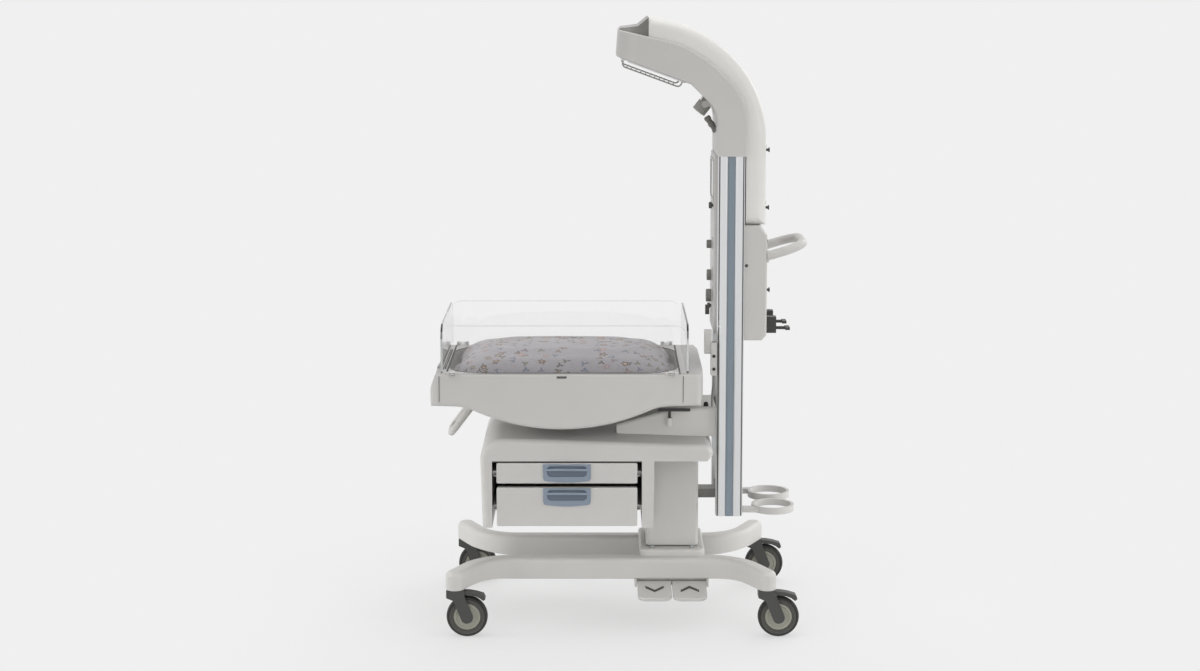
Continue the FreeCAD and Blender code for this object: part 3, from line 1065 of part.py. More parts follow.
# Casters: a swivel fork with its stem and axle, a wheel of hub and tyre, and a brake pedal over the wheel
def caster(label, x, y):
    axle = ("caster_trail", "wheel_radius")
    top = "leg_end_bottom - 1"
    cheeks = prism(f"{label}_cheeks", "XZ", [
        ("-fork_top_half", top), ("fork_top_half", top), ("fork_top_half + 5.5", f"{top} - 25"),
        ("caster_trail + 23.5", "wheel_radius - 9.7"), ("caster_trail - 9.8", "wheel_radius - 23.5"),
        (-5, f"{top} - 31"), ("-fork_top_half", f"{top} - 22"),
    ], ("-fork_width / 2", "fork_width / 2"))
    soften(cheeks, 17, lambda edge: is_line(edge, "y") and edge.CenterOfMass.z < size("wheel_radius"))
    cap = rod(f"{label}_cap", "z", 24, ("leg_end_bottom - 12", top), (0, 0))
    stem = rod(f"{label}_stem", "z", "stem_radius", ("leg_end_bottom - 12", "stem_top"), (0, 0))
    wheel_room = rod(f"{label}_room", "y", "wheel_radius + 4", ("-fork_gap / 2", "fork_gap / 2"), axle)
    brake_room = block(f"{label}_brake_room", ("brake_x - 7.5", "brake_x + 20"),
                       ("-fork_gap / 2", "fork_gap / 2"), (f"{top} - 36", f"{top} - 2.5"))
    axle_pin = rod(f"{label}_axle", "y", "axle_radius", ("-fork_width / 2", "fork_width / 2"), axle)
    brake_z = f"({top} - 9)"
    brake_at = ("brake_x", brake_z)
    brake_pin = rod(f"{label}_brake_pin", "y", "brake_pin_radius", ("-fork_width / 2", "fork_width / 2"),
                    brake_at)
    frame_part = cut(f"{label}_open", join(f"{label}_block", cheeks, cap, stem), wheel_room, brake_room)
    fork = node(f"{label}_fork", join(f"{label}_fork", frame_part, axle_pin, brake_pin))

    tyre_y = ("-wheel_width / 2", "wheel_width / 2")
    tyre_disc = rod(f"{label}_tyre_disc", "y", "wheel_radius", tyre_y, axle)
    tread = soften_all(f"{label}_tread", tyre_disc, 9,
                       lambda edge: edge.Length > 300 and edge.Curve.TypeId == "Part::GeomCircle")
    tyre_hole = rod(f"{label}_tyre_hole", "y", "rim_radius", ("-wheel_width", "wheel_width"), axle)
    rim = rod(f"{label}_rim", "y", "rim_radius", ("-wheel_width / 2 + 2", "wheel_width / 2 - 2"), axle)
    dish = [
        rod(f"{label}_dish_{side}", "y", "rim_radius - 7", (f"{side} * 9.5 - 4", f"{side} * 9.5 + 4"), axle)
        for side in (-1, 1)
    ]
    boss = rod(f"{label}_boss", "y", 15, ("-wheel_width / 2 + 1", "wheel_width / 2 - 1"), axle)
    bore = rod(f"{label}_bore", "y", "axle_radius + running_gap", ("-wheel_width", "wheel_width"), axle)
    hub = cut(f"{label}_hub", join(f"{label}_hub_solid", cut(f"{label}_rim_dished", rim, *dish), boss),
              bore)
    tyre = cut(f"{label}_tyre", tread, tyre_hole)
    wheel = node(f"{label}_wheel", group(f"{label}_wheel", tyre, hub))

    brake_y = ("-fork_gap / 2 + 2", "fork_gap / 2 - 2")
    under_tongue = [(-4, -4), (13.6, -6.5), (39.6, -9.7), (54.2, -15.6), (65.9, -24.6)]
    over_tongue = [(73, -18), (67, -6), (44, 1), (23, 4.5), (0, 5)]
    tongue = prism(f"{label}_tongue", "XZ", [
        (f"brake_x + {reach}", f"{brake_z} + {rise}") for reach, rise in under_tongue + over_tongue
    ], brake_y)
    soften(tongue, 3, lambda edge: is_line(edge, "y") and edge.CenterOfMass.x > 80)
    brake_hub = rod(f"{label}_brake_hub", "y", 4.8, brake_y, brake_at)
    brake_bore = rod(f"{label}_brake_bore", "y", "brake_pin_radius + running_gap",
                     ("-fork_gap", "fork_gap"), brake_at)
    brake = node(f"{label}_brake",
                 cut(f"{label}_brake", join(f"{label}_brake_solid", tongue, brake_hub), brake_bore))
    for piece in (fork, wheel, brake):
        place(piece, x, y)


for end, x in (("front", "front_stem_x"), ("rear", "rear_stem_x")):
    for hand, y in (("right", "-leg_spread"), ("left", "leg_spread")):
        caster(f"{end}_{hand}", x, y)

# Check every object and write the finished pieces
document.recompute()
wrong = [thing.Name for thing in document.Objects if "Invalid" in thing.State or "Error" in thing.State]
if wrong:
    raise RuntimeError(f"not built: {wrong}")
os.makedirs("parts", exist_ok=True)
empty = [thing.Label for thing in nodes
         if thing.Shape.isNull() or not thing.Shape.isValid() or not thing.Shape.Solids]
if empty:
    raise RuntimeError(f"no valid shape: {empty}")
for thing in nodes:
    thing.Shape.exportStep(f"parts/{thing.Label}.step")
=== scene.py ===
import math

import bmesh
import bpy
from mathutils import Matrix, Vector


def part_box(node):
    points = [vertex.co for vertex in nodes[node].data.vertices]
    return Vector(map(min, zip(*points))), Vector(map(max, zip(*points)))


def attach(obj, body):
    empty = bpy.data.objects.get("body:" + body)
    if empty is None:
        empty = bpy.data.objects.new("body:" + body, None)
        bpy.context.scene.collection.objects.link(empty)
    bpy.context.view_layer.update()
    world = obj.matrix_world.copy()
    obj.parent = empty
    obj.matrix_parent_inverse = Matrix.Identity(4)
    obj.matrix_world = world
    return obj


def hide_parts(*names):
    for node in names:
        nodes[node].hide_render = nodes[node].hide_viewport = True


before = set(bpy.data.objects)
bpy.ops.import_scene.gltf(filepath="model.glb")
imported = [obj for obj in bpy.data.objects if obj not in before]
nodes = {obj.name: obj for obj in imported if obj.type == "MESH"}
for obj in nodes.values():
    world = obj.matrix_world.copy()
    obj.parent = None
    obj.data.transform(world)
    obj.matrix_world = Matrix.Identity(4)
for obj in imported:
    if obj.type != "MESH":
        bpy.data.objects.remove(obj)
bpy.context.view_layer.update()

# Base legs, cross frame, lift sleeve and post brace
# Cast and welded metal with a pale grey powder coat, baked on, so the surface flows slightly
# and shows a soft orange peel. The legs bolt to the cross frame and the sleeve slides over the masts.


def linear(hex_colour):
    """An sRGB hex colour as linear RGBA."""
    parts = [int(hex_colour[i:i + 2], 16) / 255 for i in (1, 3, 5)]
    return (*[c / 12.92 if c <= 0.04045 else ((c + 0.055) / 1.055) ** 2.4 for c in parts], 1.0)


def add(material, kind, inputs=None, **settings):
    """Adds a node with its settings, and links or sets its inputs, each given by name or number."""
    tree = material.node_tree
    node = tree.nodes.new(kind)
    for name, value in settings.items():
        setattr(node, name, value)
    for key, value in (inputs or {}).items():
        named = [socket for socket in node.inputs if socket.enabled and socket.name == key]
        socket = named[0] if named else node.inputs[key]
        if isinstance(value, bpy.types.NodeSocket):
            tree.links.new(value, socket)
        else:
            socket.default_value = value
    return node


def start_material(name):
    """An empty node material with its Object coordinates."""
    material = bpy.data.materials.new(name)
    material.use_nodes = True
    material.node_tree.nodes.clear()
    place = add(material, "ShaderNodeTexCoord").outputs["Object"]
    return material, place


def outcome(node):
    """The output that a node shows; some hold others too, for other kinds of data."""
    return [socket for socket in node.outputs if socket.enabled][0]


def end_material(material, inputs):
    """The surface shader and the output of a material."""
    surface = add(material, "ShaderNodeBsdfPrincipled", inputs)
    add(material, "ShaderNodeOutputMaterial", {"Surface": surface.outputs[0]})
    return material


def speckled_finish(name, colours, grain_mm, bump, roughness, **more):
    """A coated or moulded surface: two close tones in broad clouds over a fine raised grain.
    The grain is drawn coarser than the real one, so that it shows."""
    material, place = start_material(name)
    cloud_mm = 160
    clouds = add(material, "ShaderNodeTexNoise", {"Vector": place, "Scale": 1000 / cloud_mm, "Detail": 3.0})
    tone = add(material, "ShaderNodeMix", {
        "Factor": clouds.outputs["Fac"], "A": linear(colours[0]), "B": linear(colours[1])}, data_type="RGBA")
    grain = add(material, "ShaderNodeTexNoise", {"Vector": place, "Scale": 1000 / grain_mm, "Detail": 2.0})
    noise_low, noise_high = 0.3, 0.7
    sheen = add(material, "ShaderNodeMapRange", {
        "Value": clouds.outputs["Fac"], "From Min": noise_low, "From Max": noise_high,
        "To Min": roughness[0], "To Max": roughness[1]})
    grain_height = grain_mm / 1000 / 4
    relief = add(material, "ShaderNodeBump", {
        "Height": grain.outputs["Fac"], "Strength": bump, "Distance": grain_height})
    return end_material(material, {
        "Base Color": outcome(tone), "Roughness": sheen.outputs["Result"],
        "Normal": relief.outputs["Normal"], **more})


def coat(material, *names):
    """Gives CAD nodes their finish."""
    for name in names:
        nodes[name].data.materials.clear()
        nodes[name].data.materials.append(material)


# Polyester powder coat: a soft gloss with an orange peel, drawn 4 mm wide so that it shows
powder_coat = speckled_finish("pale grey powder coat", ("#BDBBB7", "#C4C2BE"), 4, 0.12, (0.34, 0.42), IOR=1.5)
coat(powder_coat, "base_legs", "cross_frame", "outer_sleeve")
# The same coat darkened to a mid grey for the brace: painted shade, standing in for the shadow it sits in
shaded_brace_coat = speckled_finish("pale powder coat darkened as painted shade", ("#6F6E6B", "#777673"), 4, 0.12, (0.38, 0.46), IOR=1.5)
coat(shaded_brace_coat, "post_brace")

# Masts, lift screw and platform frame
# Drawn steel tube, turned rod and laser-cut plate inside the column and under the bed.
# They slide and turn on each other, so they are bare and lightly brushed along their length.


def brushed_metal(name, colours, streak_mm, along, roughness):
    """Bare metal with fine streaks along one axis, drawn wider than real ones so that they show."""
    material, place = start_material(name)
    stretch = 60
    scales = [1000 / streak_mm] * 3
    scales["XYZ".index(along)] /= stretch
    streaks = add(material, "ShaderNodeMapping", {"Vector": place, "Scale": scales})
    noise = add(material, "ShaderNodeTexNoise", {"Vector": streaks.outputs[0], "Scale": 1.0, "Detail": 4.0})
    tone = add(material, "ShaderNodeMix", {
        "Factor": noise.outputs["Fac"], "A": linear(colours[0]), "B": linear(colours[1])}, data_type="RGBA")
    noise_low, noise_high = 0.3, 0.7
    rough = add(material, "ShaderNodeMapRange", {
        "Value": noise.outputs["Fac"], "From Min": noise_low, "From Max": noise_high,
        "To Min": roughness[0], "To Max": roughness[1]})
    scratch_strength, scratch_deep = 0.05, 0.0003
    relief = add(material, "ShaderNodeBump", {
        "Height": noise.outputs["Fac"], "Strength": scratch_strength, "Distance": scratch_deep})
    return end_material(material, {
        "Base Color": outcome(tone), "Metallic": 1.0, "Roughness": rough.outputs["Result"],
        "Normal": relief.outputs["Normal"]})


# Drawn steel: mid-grey mirror broken up by streaks along the tube
drawn_steel = brushed_metal("drawn steel", ("#8E8E8C", "#A6A6A4"), 2, "Z", (0.28, 0.42))
coat(drawn_steel, "inner_mast", "middle_mast", "lift_actuator", "platform_frame", "bed_pins")

# Casters
# Glass-filled nylon forks and brake pedals, moulded dark grey, on a steel stem. Each wheel has a
# rubber tread bonded round a grey nylon core, with a paler cover pressed into each side.


def to_object(name, shape, sharp_degrees=35):
    """Turns a bmesh into an object with smooth faces and sharp creases."""
    mesh = bpy.data.meshes.new(name)
    shape.to_mesh(mesh)
    shape.free()
    mesh.shade_smooth()
    mesh.set_sharp_from_angle(angle=math.radians(sharp_degrees))
    piece = bpy.data.objects.new(name, mesh)
    bpy.context.scene.collection.objects.link(piece)
    return piece


def stand(shape, foot, axis):
    """Turns a shape built along Z to an axis and moves it to its foot."""
    turn = Vector((0, 0, 1)).rotation_difference(Vector(axis)).to_matrix().to_4x4()
    bmesh.ops.transform(shape, matrix=Matrix.Translation(foot) @ turn, verts=shape.verts)


def turned(name, outline, foot, axis, steps=48):
    """A piece turned on a lathe: points of (radius, distance along the axis) from its foot."""
    shape = bmesh.new()
    points = [shape.verts.new((radius, 0, along)) for radius, along in outline]
    lines = [shape.edges.new(pair) for pair in zip(points, points[1:])]
    bmesh.ops.spin(shape, geom=points + lines, cent=(0, 0, 0), axis=(0, 0, 1), angle=math.tau, steps=steps,
                   use_merge=True)
    bmesh.ops.remove_doubles(shape, verts=shape.verts, dist=1e-6)
    bmesh.ops.recalc_face_normals(shape, faces=shape.faces)
    stand(shape, foot, axis)
    return to_object(name, shape)


def fit(piece, body, slot, *materials):
    """Gives a new piece its finishes and its body. The slot is not used."""
    for material in materials:
        piece.data.materials.append(material)
    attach(piece, body)
    return piece


# Glass-filled nylon: matt, a little mottled where the fibres come to the surface
charcoal_nylon = speckled_finish(
    "charcoal glass-filled nylon", ("#3A3A38", "#444441"), 2.5, 0.2, (0.45, 0.58), IOR=1.53)
# Thermoplastic rubber tread: near black with a dusty, worn sheen
tread_rubber = speckled_finish(
    "dark thermoplastic rubber", ("#232321", "#2D2D2B"), 3, 0.2, (0.6, 0.75), IOR=1.5)
# Nylon core: dark grey between tread and cover
core_nylon = speckled_finish(
    "dark grey moulded nylon", ("#43423E", "#4F4E49"), 2.5, 0.15, (0.45, 0.55), IOR=1.53)
# Nylon cover: warm mid grey, semi-matt from the mould
cover_nylon = speckled_finish(
    "warm grey moulded nylon", ("#8F8E82", "#9C9B8F"), 2.5, 0.15, (0.4, 0.5), IOR=1.53)
casters = [f"{end}_{hand}" for end in ("front", "rear") for hand in ("right", "left")]
for caster in casters:
    coat(charcoal_nylon, f"{caster}_fork", f"{caster}_brake")
    low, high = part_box(f"{caster}_wheel")
    centre = (low + high) / 2
    radius = (high.z - low.z) / 2
    half = (high.y - low.y) / 2
    tread_foot, cover_edge, dish_edge, hub_edge, bore = 0.0535, 0.0415, 0.031, 0.016, 0.0062
    rings = {
        "tread": (tread_rubber, [
            (tread_foot, half - 0.0015), (tread_foot + 0.002, half), (radius - 0.005, half),
            (radius - 0.002, half - 0.003), (radius - 0.0006, half - 0.0075), (radius, half - 0.011)]),
        "core": (core_nylon, [
            (cover_edge - 0.002, half - 0.007), (cover_edge, half - 0.002),
            (cover_edge + 0.003, half - 0.0015), (cover_edge + 0.005, half - 0.0035),
            (tread_foot - 0.003, half - 0.0035), (tread_foot, half - 0.0015)]),
        "cover": (cover_nylon, [
            (bore, half - 0.0022), (hub_edge, half - 0.002), (hub_edge + 0.002, half - 0.0045),
            (dish_edge, half - 0.005), (dish_edge + 0.003, half - 0.0028),
            (cover_edge - 0.002, half - 0.0028), (cover_edge - 0.0005, half - 0.0045)]),
    }
    for ring, (finish, side) in rings.items():
        outline = side + [(reach, -along) for reach, along in reversed(side)] + side[:1]
        piece = turned(f"{caster}_{ring}", outline, centre, (0, 1, 0), 72)
        fit(piece, f"{caster}_roller", "grey_tyre", finish)
        if ring == "tread":
            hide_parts(f"{caster}_wheel")

# Foot bolts
# Four zinc-plated steel cap screws clamp the column's foot to the cross frame. Each head has a socket
# in its top, which is drawn round because it is only 8 mm wide.
# Zinc plate: bright and slightly blue
zinc_plate = brushed_metal("zinc-plated steel", ("#A9ACAE", "#C0C3C5"), 1.5, "Y", (0.24, 0.36))
foot_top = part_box("cross_frame")[1].z
sleeve_low, sleeve_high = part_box("outer_sleeve")
bolt_in, bolt_out = 0.02, 0.018
bolt_head = [(0, 0.0035), (0.0036, 0.0035), (0.0042, 0.007), (0.0064, 0.007), (0.007, 0.0062), (0.007, 0),
             (0, 0)]
for i, x in enumerate((sleeve_low.x + bolt_in, sleeve_high.x - bolt_in)):
    for j, y in enumerate((sleeve_low.y - bolt_out, sleeve_high.y + bolt_out)):
        bolt = turned(f"foot_bolt_{i}_{j}", bolt_head, (x, y, foot_top), (0, 0, 1), 24)
        fit(bolt, "base", "steel", zinc_plate)

# Foot pedals
# Two moulded treads on one pin of the cross frame, each with a raised arrow of a darker grey on its top.
# The down pedal's arrow points towards the user, and the up pedal's points away.
# Moulded ABS: warm pale grey with the fine grain of a spark-eroded mould, drawn 1.5 mm wide
grey_plastic = speckled_finish(
    "warm grey moulded plastic", ("#BAB8B5", "#C1BFBC"), 1.5, 0.1, (0.38, 0.46), IOR=1.53)
# Soft inlay of the arrows: darker grey and matt
arrow_inlay = speckled_finish("dark grey inlay", ("#403F3B", "#4A4945"), 1.5, 0.1, (0.5, 0.6), IOR=1.5)
coat(grey_plastic, "down_pedal", "up_pedal")


def raise_faces(shape, faces, move):
    """Extrudes faces of a bmesh by a move."""
    grown = bmesh.ops.extrude_face_region(shape, geom=faces)["geom"]
    corners = [item for item in grown if isinstance(item, bmesh.types.BMVert)]
    bmesh.ops.translate(shape, vec=move, verts=corners)


for pedal, body, points_up in (("down_pedal", "pedal_down", False), ("up_pedal", "pedal_up", True)):
    low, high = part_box(pedal)
    middle = (low.x + high.x) / 2
    hinge_y, reach_y = -0.158, low.y
    top_z, drop = 0.131, 0.025
    arm, stroke, deep, proud, set_back = 0.028, 0.010, 0.024, 0.0022, 0.036
    front = reach_y + set_back
    tip, foot = (front + deep, front) if points_up else (front, front + deep)
    shape = bmesh.new()
    outline = [(-arm, foot), (0, tip), (arm, foot),
               (arm, foot + stroke), (0, tip + stroke), (-arm, foot + stroke)]
    face = shape.faces.new([shape.verts.new((middle + x, y, 0)) for x, y in outline])
    raise_faces(shape, [face], (0, 0, proud))
    for corner in shape.verts:
        corner.co.z += top_z - drop * (hinge_y - corner.co.y) / (hinge_y - reach_y)
    bmesh.ops.recalc_face_normals(shape, faces=shape.faces)
    fit(to_object(f"{pedal}_arrow", shape), body, "dark_control", arrow_inlay)

# Cabinet shell and drawers
# The shell is one large structural-foam moulding over the platform frame, and the drawer fronts are
# moulded to match, each screwed to its tub. A black strip under the opening's lip is painted shade in the gap
# above the upper drawer.


def bar(shape, low, high):
    """Adds a box between two corners to a bmesh."""
    low, high = Vector(low), Vector(high)
    size = Matrix.Diagonal((*(high - low), 1))
    return bmesh.ops.create_cube(shape, size=1, matrix=Matrix.Translation((low + high) / 2) @ size)["verts"]


def round_off(shape, parts, radius, steps, affect="EDGES"):
    """Rounds edges of a bmesh, or the corners of a flat one."""
    bmesh.ops.bevel(shape, geom=parts, affect=affect, offset=radius, segments=steps, profile=0.5, material=-1)


coat(grey_plastic, "cabinet_shell", "upper_drawer", "lower_drawer")
# Moulded rubber: near black and matt. The strip under the drawer opening takes it as painted shade
black_rubber_and_shade = speckled_finish("black moulded rubber, also painted shade", ("#1C1C1C", "#262625"), 2, 0.15, (0.6, 0.72), IOR=1.5)
shell_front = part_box("cabinet_shell")[0].y
drawer_low, drawer_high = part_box("upper_drawer")
# The strip is painted shade: a black piece put in the gap above the upper drawer, where there is only shadow
lip_z, strip_gap, strip_deep, strip_over, strip_sunk, strip_edge = 0.528, 0.0009, 0.008, 0.005, 0.0004, 0.0006
strip = bmesh.new()
bar(strip, (drawer_low.x - strip_over, shell_front + strip_sunk, drawer_high.z + strip_gap),
    (drawer_high.x + strip_over, shell_front + strip_deep, lip_z + strip_sunk))
round_off(strip, strip.edges[:], strip_edge, 2)
fit(to_object("drawer_shade_strip", strip), "carriage", "dark_control", black_rubber_and_shade)

# Drawer pulls
# Each pull is a blue-grey moulding pressed into the drawer front: a plate with a bowed lower edge, a
# scooped finger hollow in a darker tone painted as shade, and an arched grip across the hollow.
# Moulded pull: slate blue-grey, glossier than the housings
pull_plastic = speckled_finish(
    "blue-grey moulded plastic", ("#75818F", "#7F8B99"), 1.5, 0.08, (0.3, 0.38), IOR=1.53)
# The hollow's textured floor, darker as painted shade in the recess, and more matt
hollow_shade_plastic = speckled_finish(
    "blue-grey plastic darkened as painted shade", ("#55616F", "#5E6A78"), 1.5, 0.12, (0.42, 0.5), IOR=1.53)


def hollowed(name, solid, scoop, finish, scoop_finish, sharp_degrees=35):
    """A solid with a second shape cut out of it, whose cut faces take the second finish."""
    piece, cutter = to_object(name, solid), to_object(f"{name}_scoop", scoop)
    piece.data.materials.append(finish)
    cutter.data.materials.append(scoop_finish)
    carve = piece.modifiers.new("hollow", "BOOLEAN")
    carve.operation, carve.solver, carve.material_mode = "DIFFERENCE", "EXACT", "TRANSFER"
    carve.object = cutter
    bpy.context.view_layer.update()
    carved = bpy.data.meshes.new_from_object(piece.evaluated_get(bpy.context.evaluated_depsgraph_get()))
    piece.modifiers.remove(carve)
    piece.data = carved
    carved.set_sharp_from_angle(angle=math.radians(sharp_degrees))
    bpy.data.objects.remove(cutter)
    return piece


plate_thick, plate_bow, corner_round = 0.0045, 0.006, 0.012
hollow_half, hollow_round, floor_round, hollow_down = (0.0605, 0.0038, 0.0165), 0.012, 0.003, 0.0215
chord, rise, reach, grip_down, grip_sunk = 0.063, 0.004, 0.015, 0.0175, 0.002
grip_half_thick, grip_half_tall = 0.0026, 0.0036
upright = Matrix.Rotation(math.radians(90), 3, "X")
for pull, body in (("upper_pull", "upper_drawer_set"), ("lower_pull", "lower_drawer_set")):
    low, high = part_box(pull)
    middle, back, top = (low.x + high.x) / 2, high.y, high.z
    half, tall = (high.x - low.x) / 2, high.z - low.z
    plate = bmesh.new()
    bmesh.ops.create_grid(plate, x_segments=24, y_segments=1, size=1)
    bmesh.ops.scale(plate, vec=(half, tall / 2, 1), verts=plate.verts)
    for corner in plate.verts:
        if corner.co.y < 0:
            corner.co.y += plate_bow * (corner.co.x / half) ** 2
    ends = [corner for corner in plate.verts if corner.co.y < 0 and abs(corner.co.x) > half - 1e-6]
    round_off(plate, ends, corner_round, 6, "VERTICES")
    bmesh.ops.rotate(plate, cent=(0, 0, 0), matrix=upright, verts=plate.verts)
    bmesh.ops.translate(plate, vec=(middle, back, top - tall / 2), verts=plate.verts)
    raise_faces(plate, plate.faces[:], (0, -plate_thick, 0))
    bmesh.ops.recalc_face_normals(plate, faces=plate.faces)
    scoop = bmesh.new()
    bmesh.ops.create_cube(scoop, size=2)
    bmesh.ops.scale(scoop, vec=hollow_half, verts=scoop.verts)
    corners = [line for line in scoop.edges if line.verts[0].co.y * line.verts[1].co.y < 0]
    round_off(scoop, corners, hollow_round, 8)
    floor_edge = [line for line in scoop.edges if all(corner.co.y > 0 for corner in line.verts)]
    round_off(scoop, floor_edge, floor_round, 4)
    bmesh.ops.translate(scoop, vec=(middle, back - plate_thick, top - hollow_down), verts=scoop.verts)
    piece = hollowed(f"{pull}_plate", plate, scoop, pull_plastic, hollow_shade_plastic)
    fit(piece, body, "blue_grey_plastic")
    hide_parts(pull)
    start = Vector((middle - chord, back - plate_thick + grip_sunk, top - grip_down))
    bow = Vector((0, -reach, rise))
    arch_radius = (chord ** 2 + bow.length ** 2) / (2 * bow.length)
    centre = start + Vector((chord, 0, 0)) + bow - bow.normalized() * arch_radius
    out_from_centre = (start - centre).normalized()
    across = Vector((1, 0, 0)).cross(bow.normalized())
    grip = bmesh.new()
    ring = bmesh.ops.create_circle(grip, segments=16, radius=1)["verts"]
    bmesh.ops.scale(grip, vec=(grip_half_thick, grip_half_tall, 1), verts=ring)
    section = Matrix((out_from_centre, across, out_from_centre.cross(across))).transposed().to_4x4()
    bmesh.ops.transform(grip, matrix=Matrix.Translation(start) @ section, verts=ring)
    bmesh.ops.spin(grip, geom=grip.verts[:] + grip.edges[:], cent=centre, axis=across,
                   angle=-2 * math.asin(chord / arch_radius), steps=28)
    bmesh.ops.holes_fill(grip, edges=grip.edges[:])
    bmesh.ops.recalc_face_normals(grip, faces=grip.faces)
    fit(to_object(f"{pull}_grip", grip), body, "blue_grey_plastic", pull_plastic)

# Bed support arm, release lever and bumper
# A cast arm with a moulded cover carries the bed's rear. The lever is a steel bar dipped in dark plastic,
# and a black rubber bumper on the arm stops the bed before it meets the posts.
# The arm's cover and the head's spine are a shade paler than the other housings: on the arm this is painted
# light, and on the spine it is partly its own tone and partly painted light
pale_lit_plastic = speckled_finish(
    "pale grey plastic with painted light", ("#D6D5D1", "#DCDBD7"), 1.5, 0.1, (0.38, 0.46), IOR=1.53)
coat(pale_lit_plastic, "bed_support_arm")
# Dipped vinyl: almost black, soft and slightly shiny
dipped_vinyl = speckled_finish("dark dipped vinyl", ("#2F2F2D", "#383836"), 1.5, 0.1, (0.38, 0.48), IOR=1.5)
coat(dipped_vinyl, "release_lever")
arm_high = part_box("bed_support_arm")[1]
bumper_back, bumper_y, bumper_sunk = 0.029, -0.078, 0.0012
bumper_foot = (arm_high.x - bumper_back, bumper_y, arm_high.z - bumper_sunk)
bumper_outline = [(0, 0.013), (0.004, 0.0125), (0.0065, 0.010), (0.0075, 0.006), (0.0075, 0.001), (0.009, 0),
                  (0, -0.001)]
bumper = turned("bed_bumper", bumper_outline, bumper_foot, (0, 0, 1), 32)
fit(bumper, "carriage", "dark_control", black_rubber_and_shade)

# Posts, strips and edge shade strips
# Aluminium extrusions, satin anodised, with a slate-blue plastic strip snapped into the outer channel and
# thin black strips down the chamfered corners as painted shade for the dark gap there. Die lines run the
# whole length of each.
# Satin anodised aluminium: a pale broad gleam with fine lines down the extrusion
anodised = brushed_metal("satin anodised aluminium", ("#D6D7D8", "#E2E3E4"), 1.2, "Z", (0.38, 0.48))
coat(anodised, "posts")


def extruded_plastic(name, colours, line_mm):
    """Extruded plastic with fine lines along Z, drawn wider than real ones so that they show."""
    material, place = start_material(name)
    run = 200
    lines = add(material, "ShaderNodeMapping", {
        "Vector": place, "Scale": (1000 / line_mm, 1000 / line_mm, 1000 / (line_mm * run))})
    noise = add(material, "ShaderNodeTexNoise", {"Vector": lines.outputs[0], "Scale": 1.0, "Detail": 2.0})
    tone = add(material, "ShaderNodeMix", {
        "Factor": noise.outputs["Fac"], "A": linear(colours[0]), "B": linear(colours[1])}, data_type="RGBA")
    line_strength, line_deep = 0.1, 0.0003
    relief = add(material, "ShaderNodeBump", {
        "Height": noise.outputs["Fac"], "Strength": line_strength, "Distance": line_deep})
    return end_material(material, {
        "Base Color": outcome(tone), "Roughness": 0.45, "IOR": 1.53, "Normal": relief.outputs["Normal"]})


# Extruded PVC: matt slate blue with faint lines along the extrusion
coat(extruded_plastic("slate blue extruded plastic", ("#717E89", "#7D8993"), 1.5), "post_strips")
# Extruded black strip: matt, almost black; painted shade along the posts' chamfered corners and round the
# well
black_shade_strip = extruded_plastic("black extruded strip as painted shade", ("#3A3A38", "#444442"), 1.5)
post_low, post_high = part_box("posts")
edge_shade_strips = bmesh.new()
shade_strip_wide, shade_strip_thick, shade_strip_edge, chamfer, shade_strip_proud, shade_strip_lean, shade_strip_short = (
    0.0036, 0.0014, 0.0004, 0.0045, 0.0009, 42, 0.002)
for side in (-1, 1):
    for x, lean in ((post_low.x + chamfer, -1), (post_high.x - chamfer, 1)):
        spot = Vector((x, side * (post_high.y - chamfer + shade_strip_proud), (post_low.z + post_high.z) / 2))
        turn = Matrix.Rotation(math.radians(shade_strip_lean * lean * -side), 4, "Z")
        size = Matrix.Diagonal((shade_strip_wide, shade_strip_thick, post_high.z - post_low.z - shade_strip_short, 1))
        bmesh.ops.create_cube(edge_shade_strips, size=1, matrix=Matrix.Translation(spot) @ turn @ size)
round_off(edge_shade_strips, edge_shade_strips.edges[:], shade_strip_edge, 2)
fit(to_object("post_edge_shade_strips", edge_shade_strips), "carriage", "dark_control", black_shade_strip)

# Console, display and controls
# A moulded housing clipped between the posts, with a framed display window and fluted plastic knobs
# on its face. The window shows plain generic bars, and plain tick marks ring the knobs.
coat(grey_plastic, "console")
# Moulded knobs: mid grey and semi-matt
knob_grey = speckled_finish(
    "mid grey moulded plastic", ("#6C6B66", "#787772"), 1.5, 0.12, (0.42, 0.52), IOR=1.5)
# The lever and the button: dark grey, slightly shiny
dark_plastic = speckled_finish(
    "dark grey moulded plastic", ("#4A4A48", "#545452"), 1.5, 0.1, (0.38, 0.48), IOR=1.5)
coat(dark_plastic, "circuit_lever", "alarm_button")
# Printed marks: pale grey ink
pale_ink = speckled_finish("pale grey printed ink", ("#D6D6D2", "#DEDEDA"), 1.5, 0.05, (0.5, 0.6), IOR=1.5)


def fluted(name, radius, flutes, flute_deep, foot, axis, tall, edge):
    """A drum with rounded flutes along it and a bevelled end, standing on its foot."""
    shape = bmesh.new()
    points_per_flute = 6
    bmesh.ops.create_circle(shape, segments=flutes * points_per_flute, radius=radius, cap_ends=True)
    for corner in shape.verts:
        wave = math.cos(flutes * math.atan2(corner.co.y, corner.co.x))
        corner.co *= 1 - flute_deep / radius * (0.5 - 0.5 * wave)
    raise_faces(shape, shape.faces[:], (0, 0, tall))
    end_edges = [line for line in shape.edges if all(corner.co.z > tall / 2 for corner in line.verts)]
    round_off(shape, end_edges, edge, 3)
    bmesh.ops.recalc_face_normals(shape, faces=shape.faces)
    stand(shape, foot, axis)
    return to_object(name, shape)


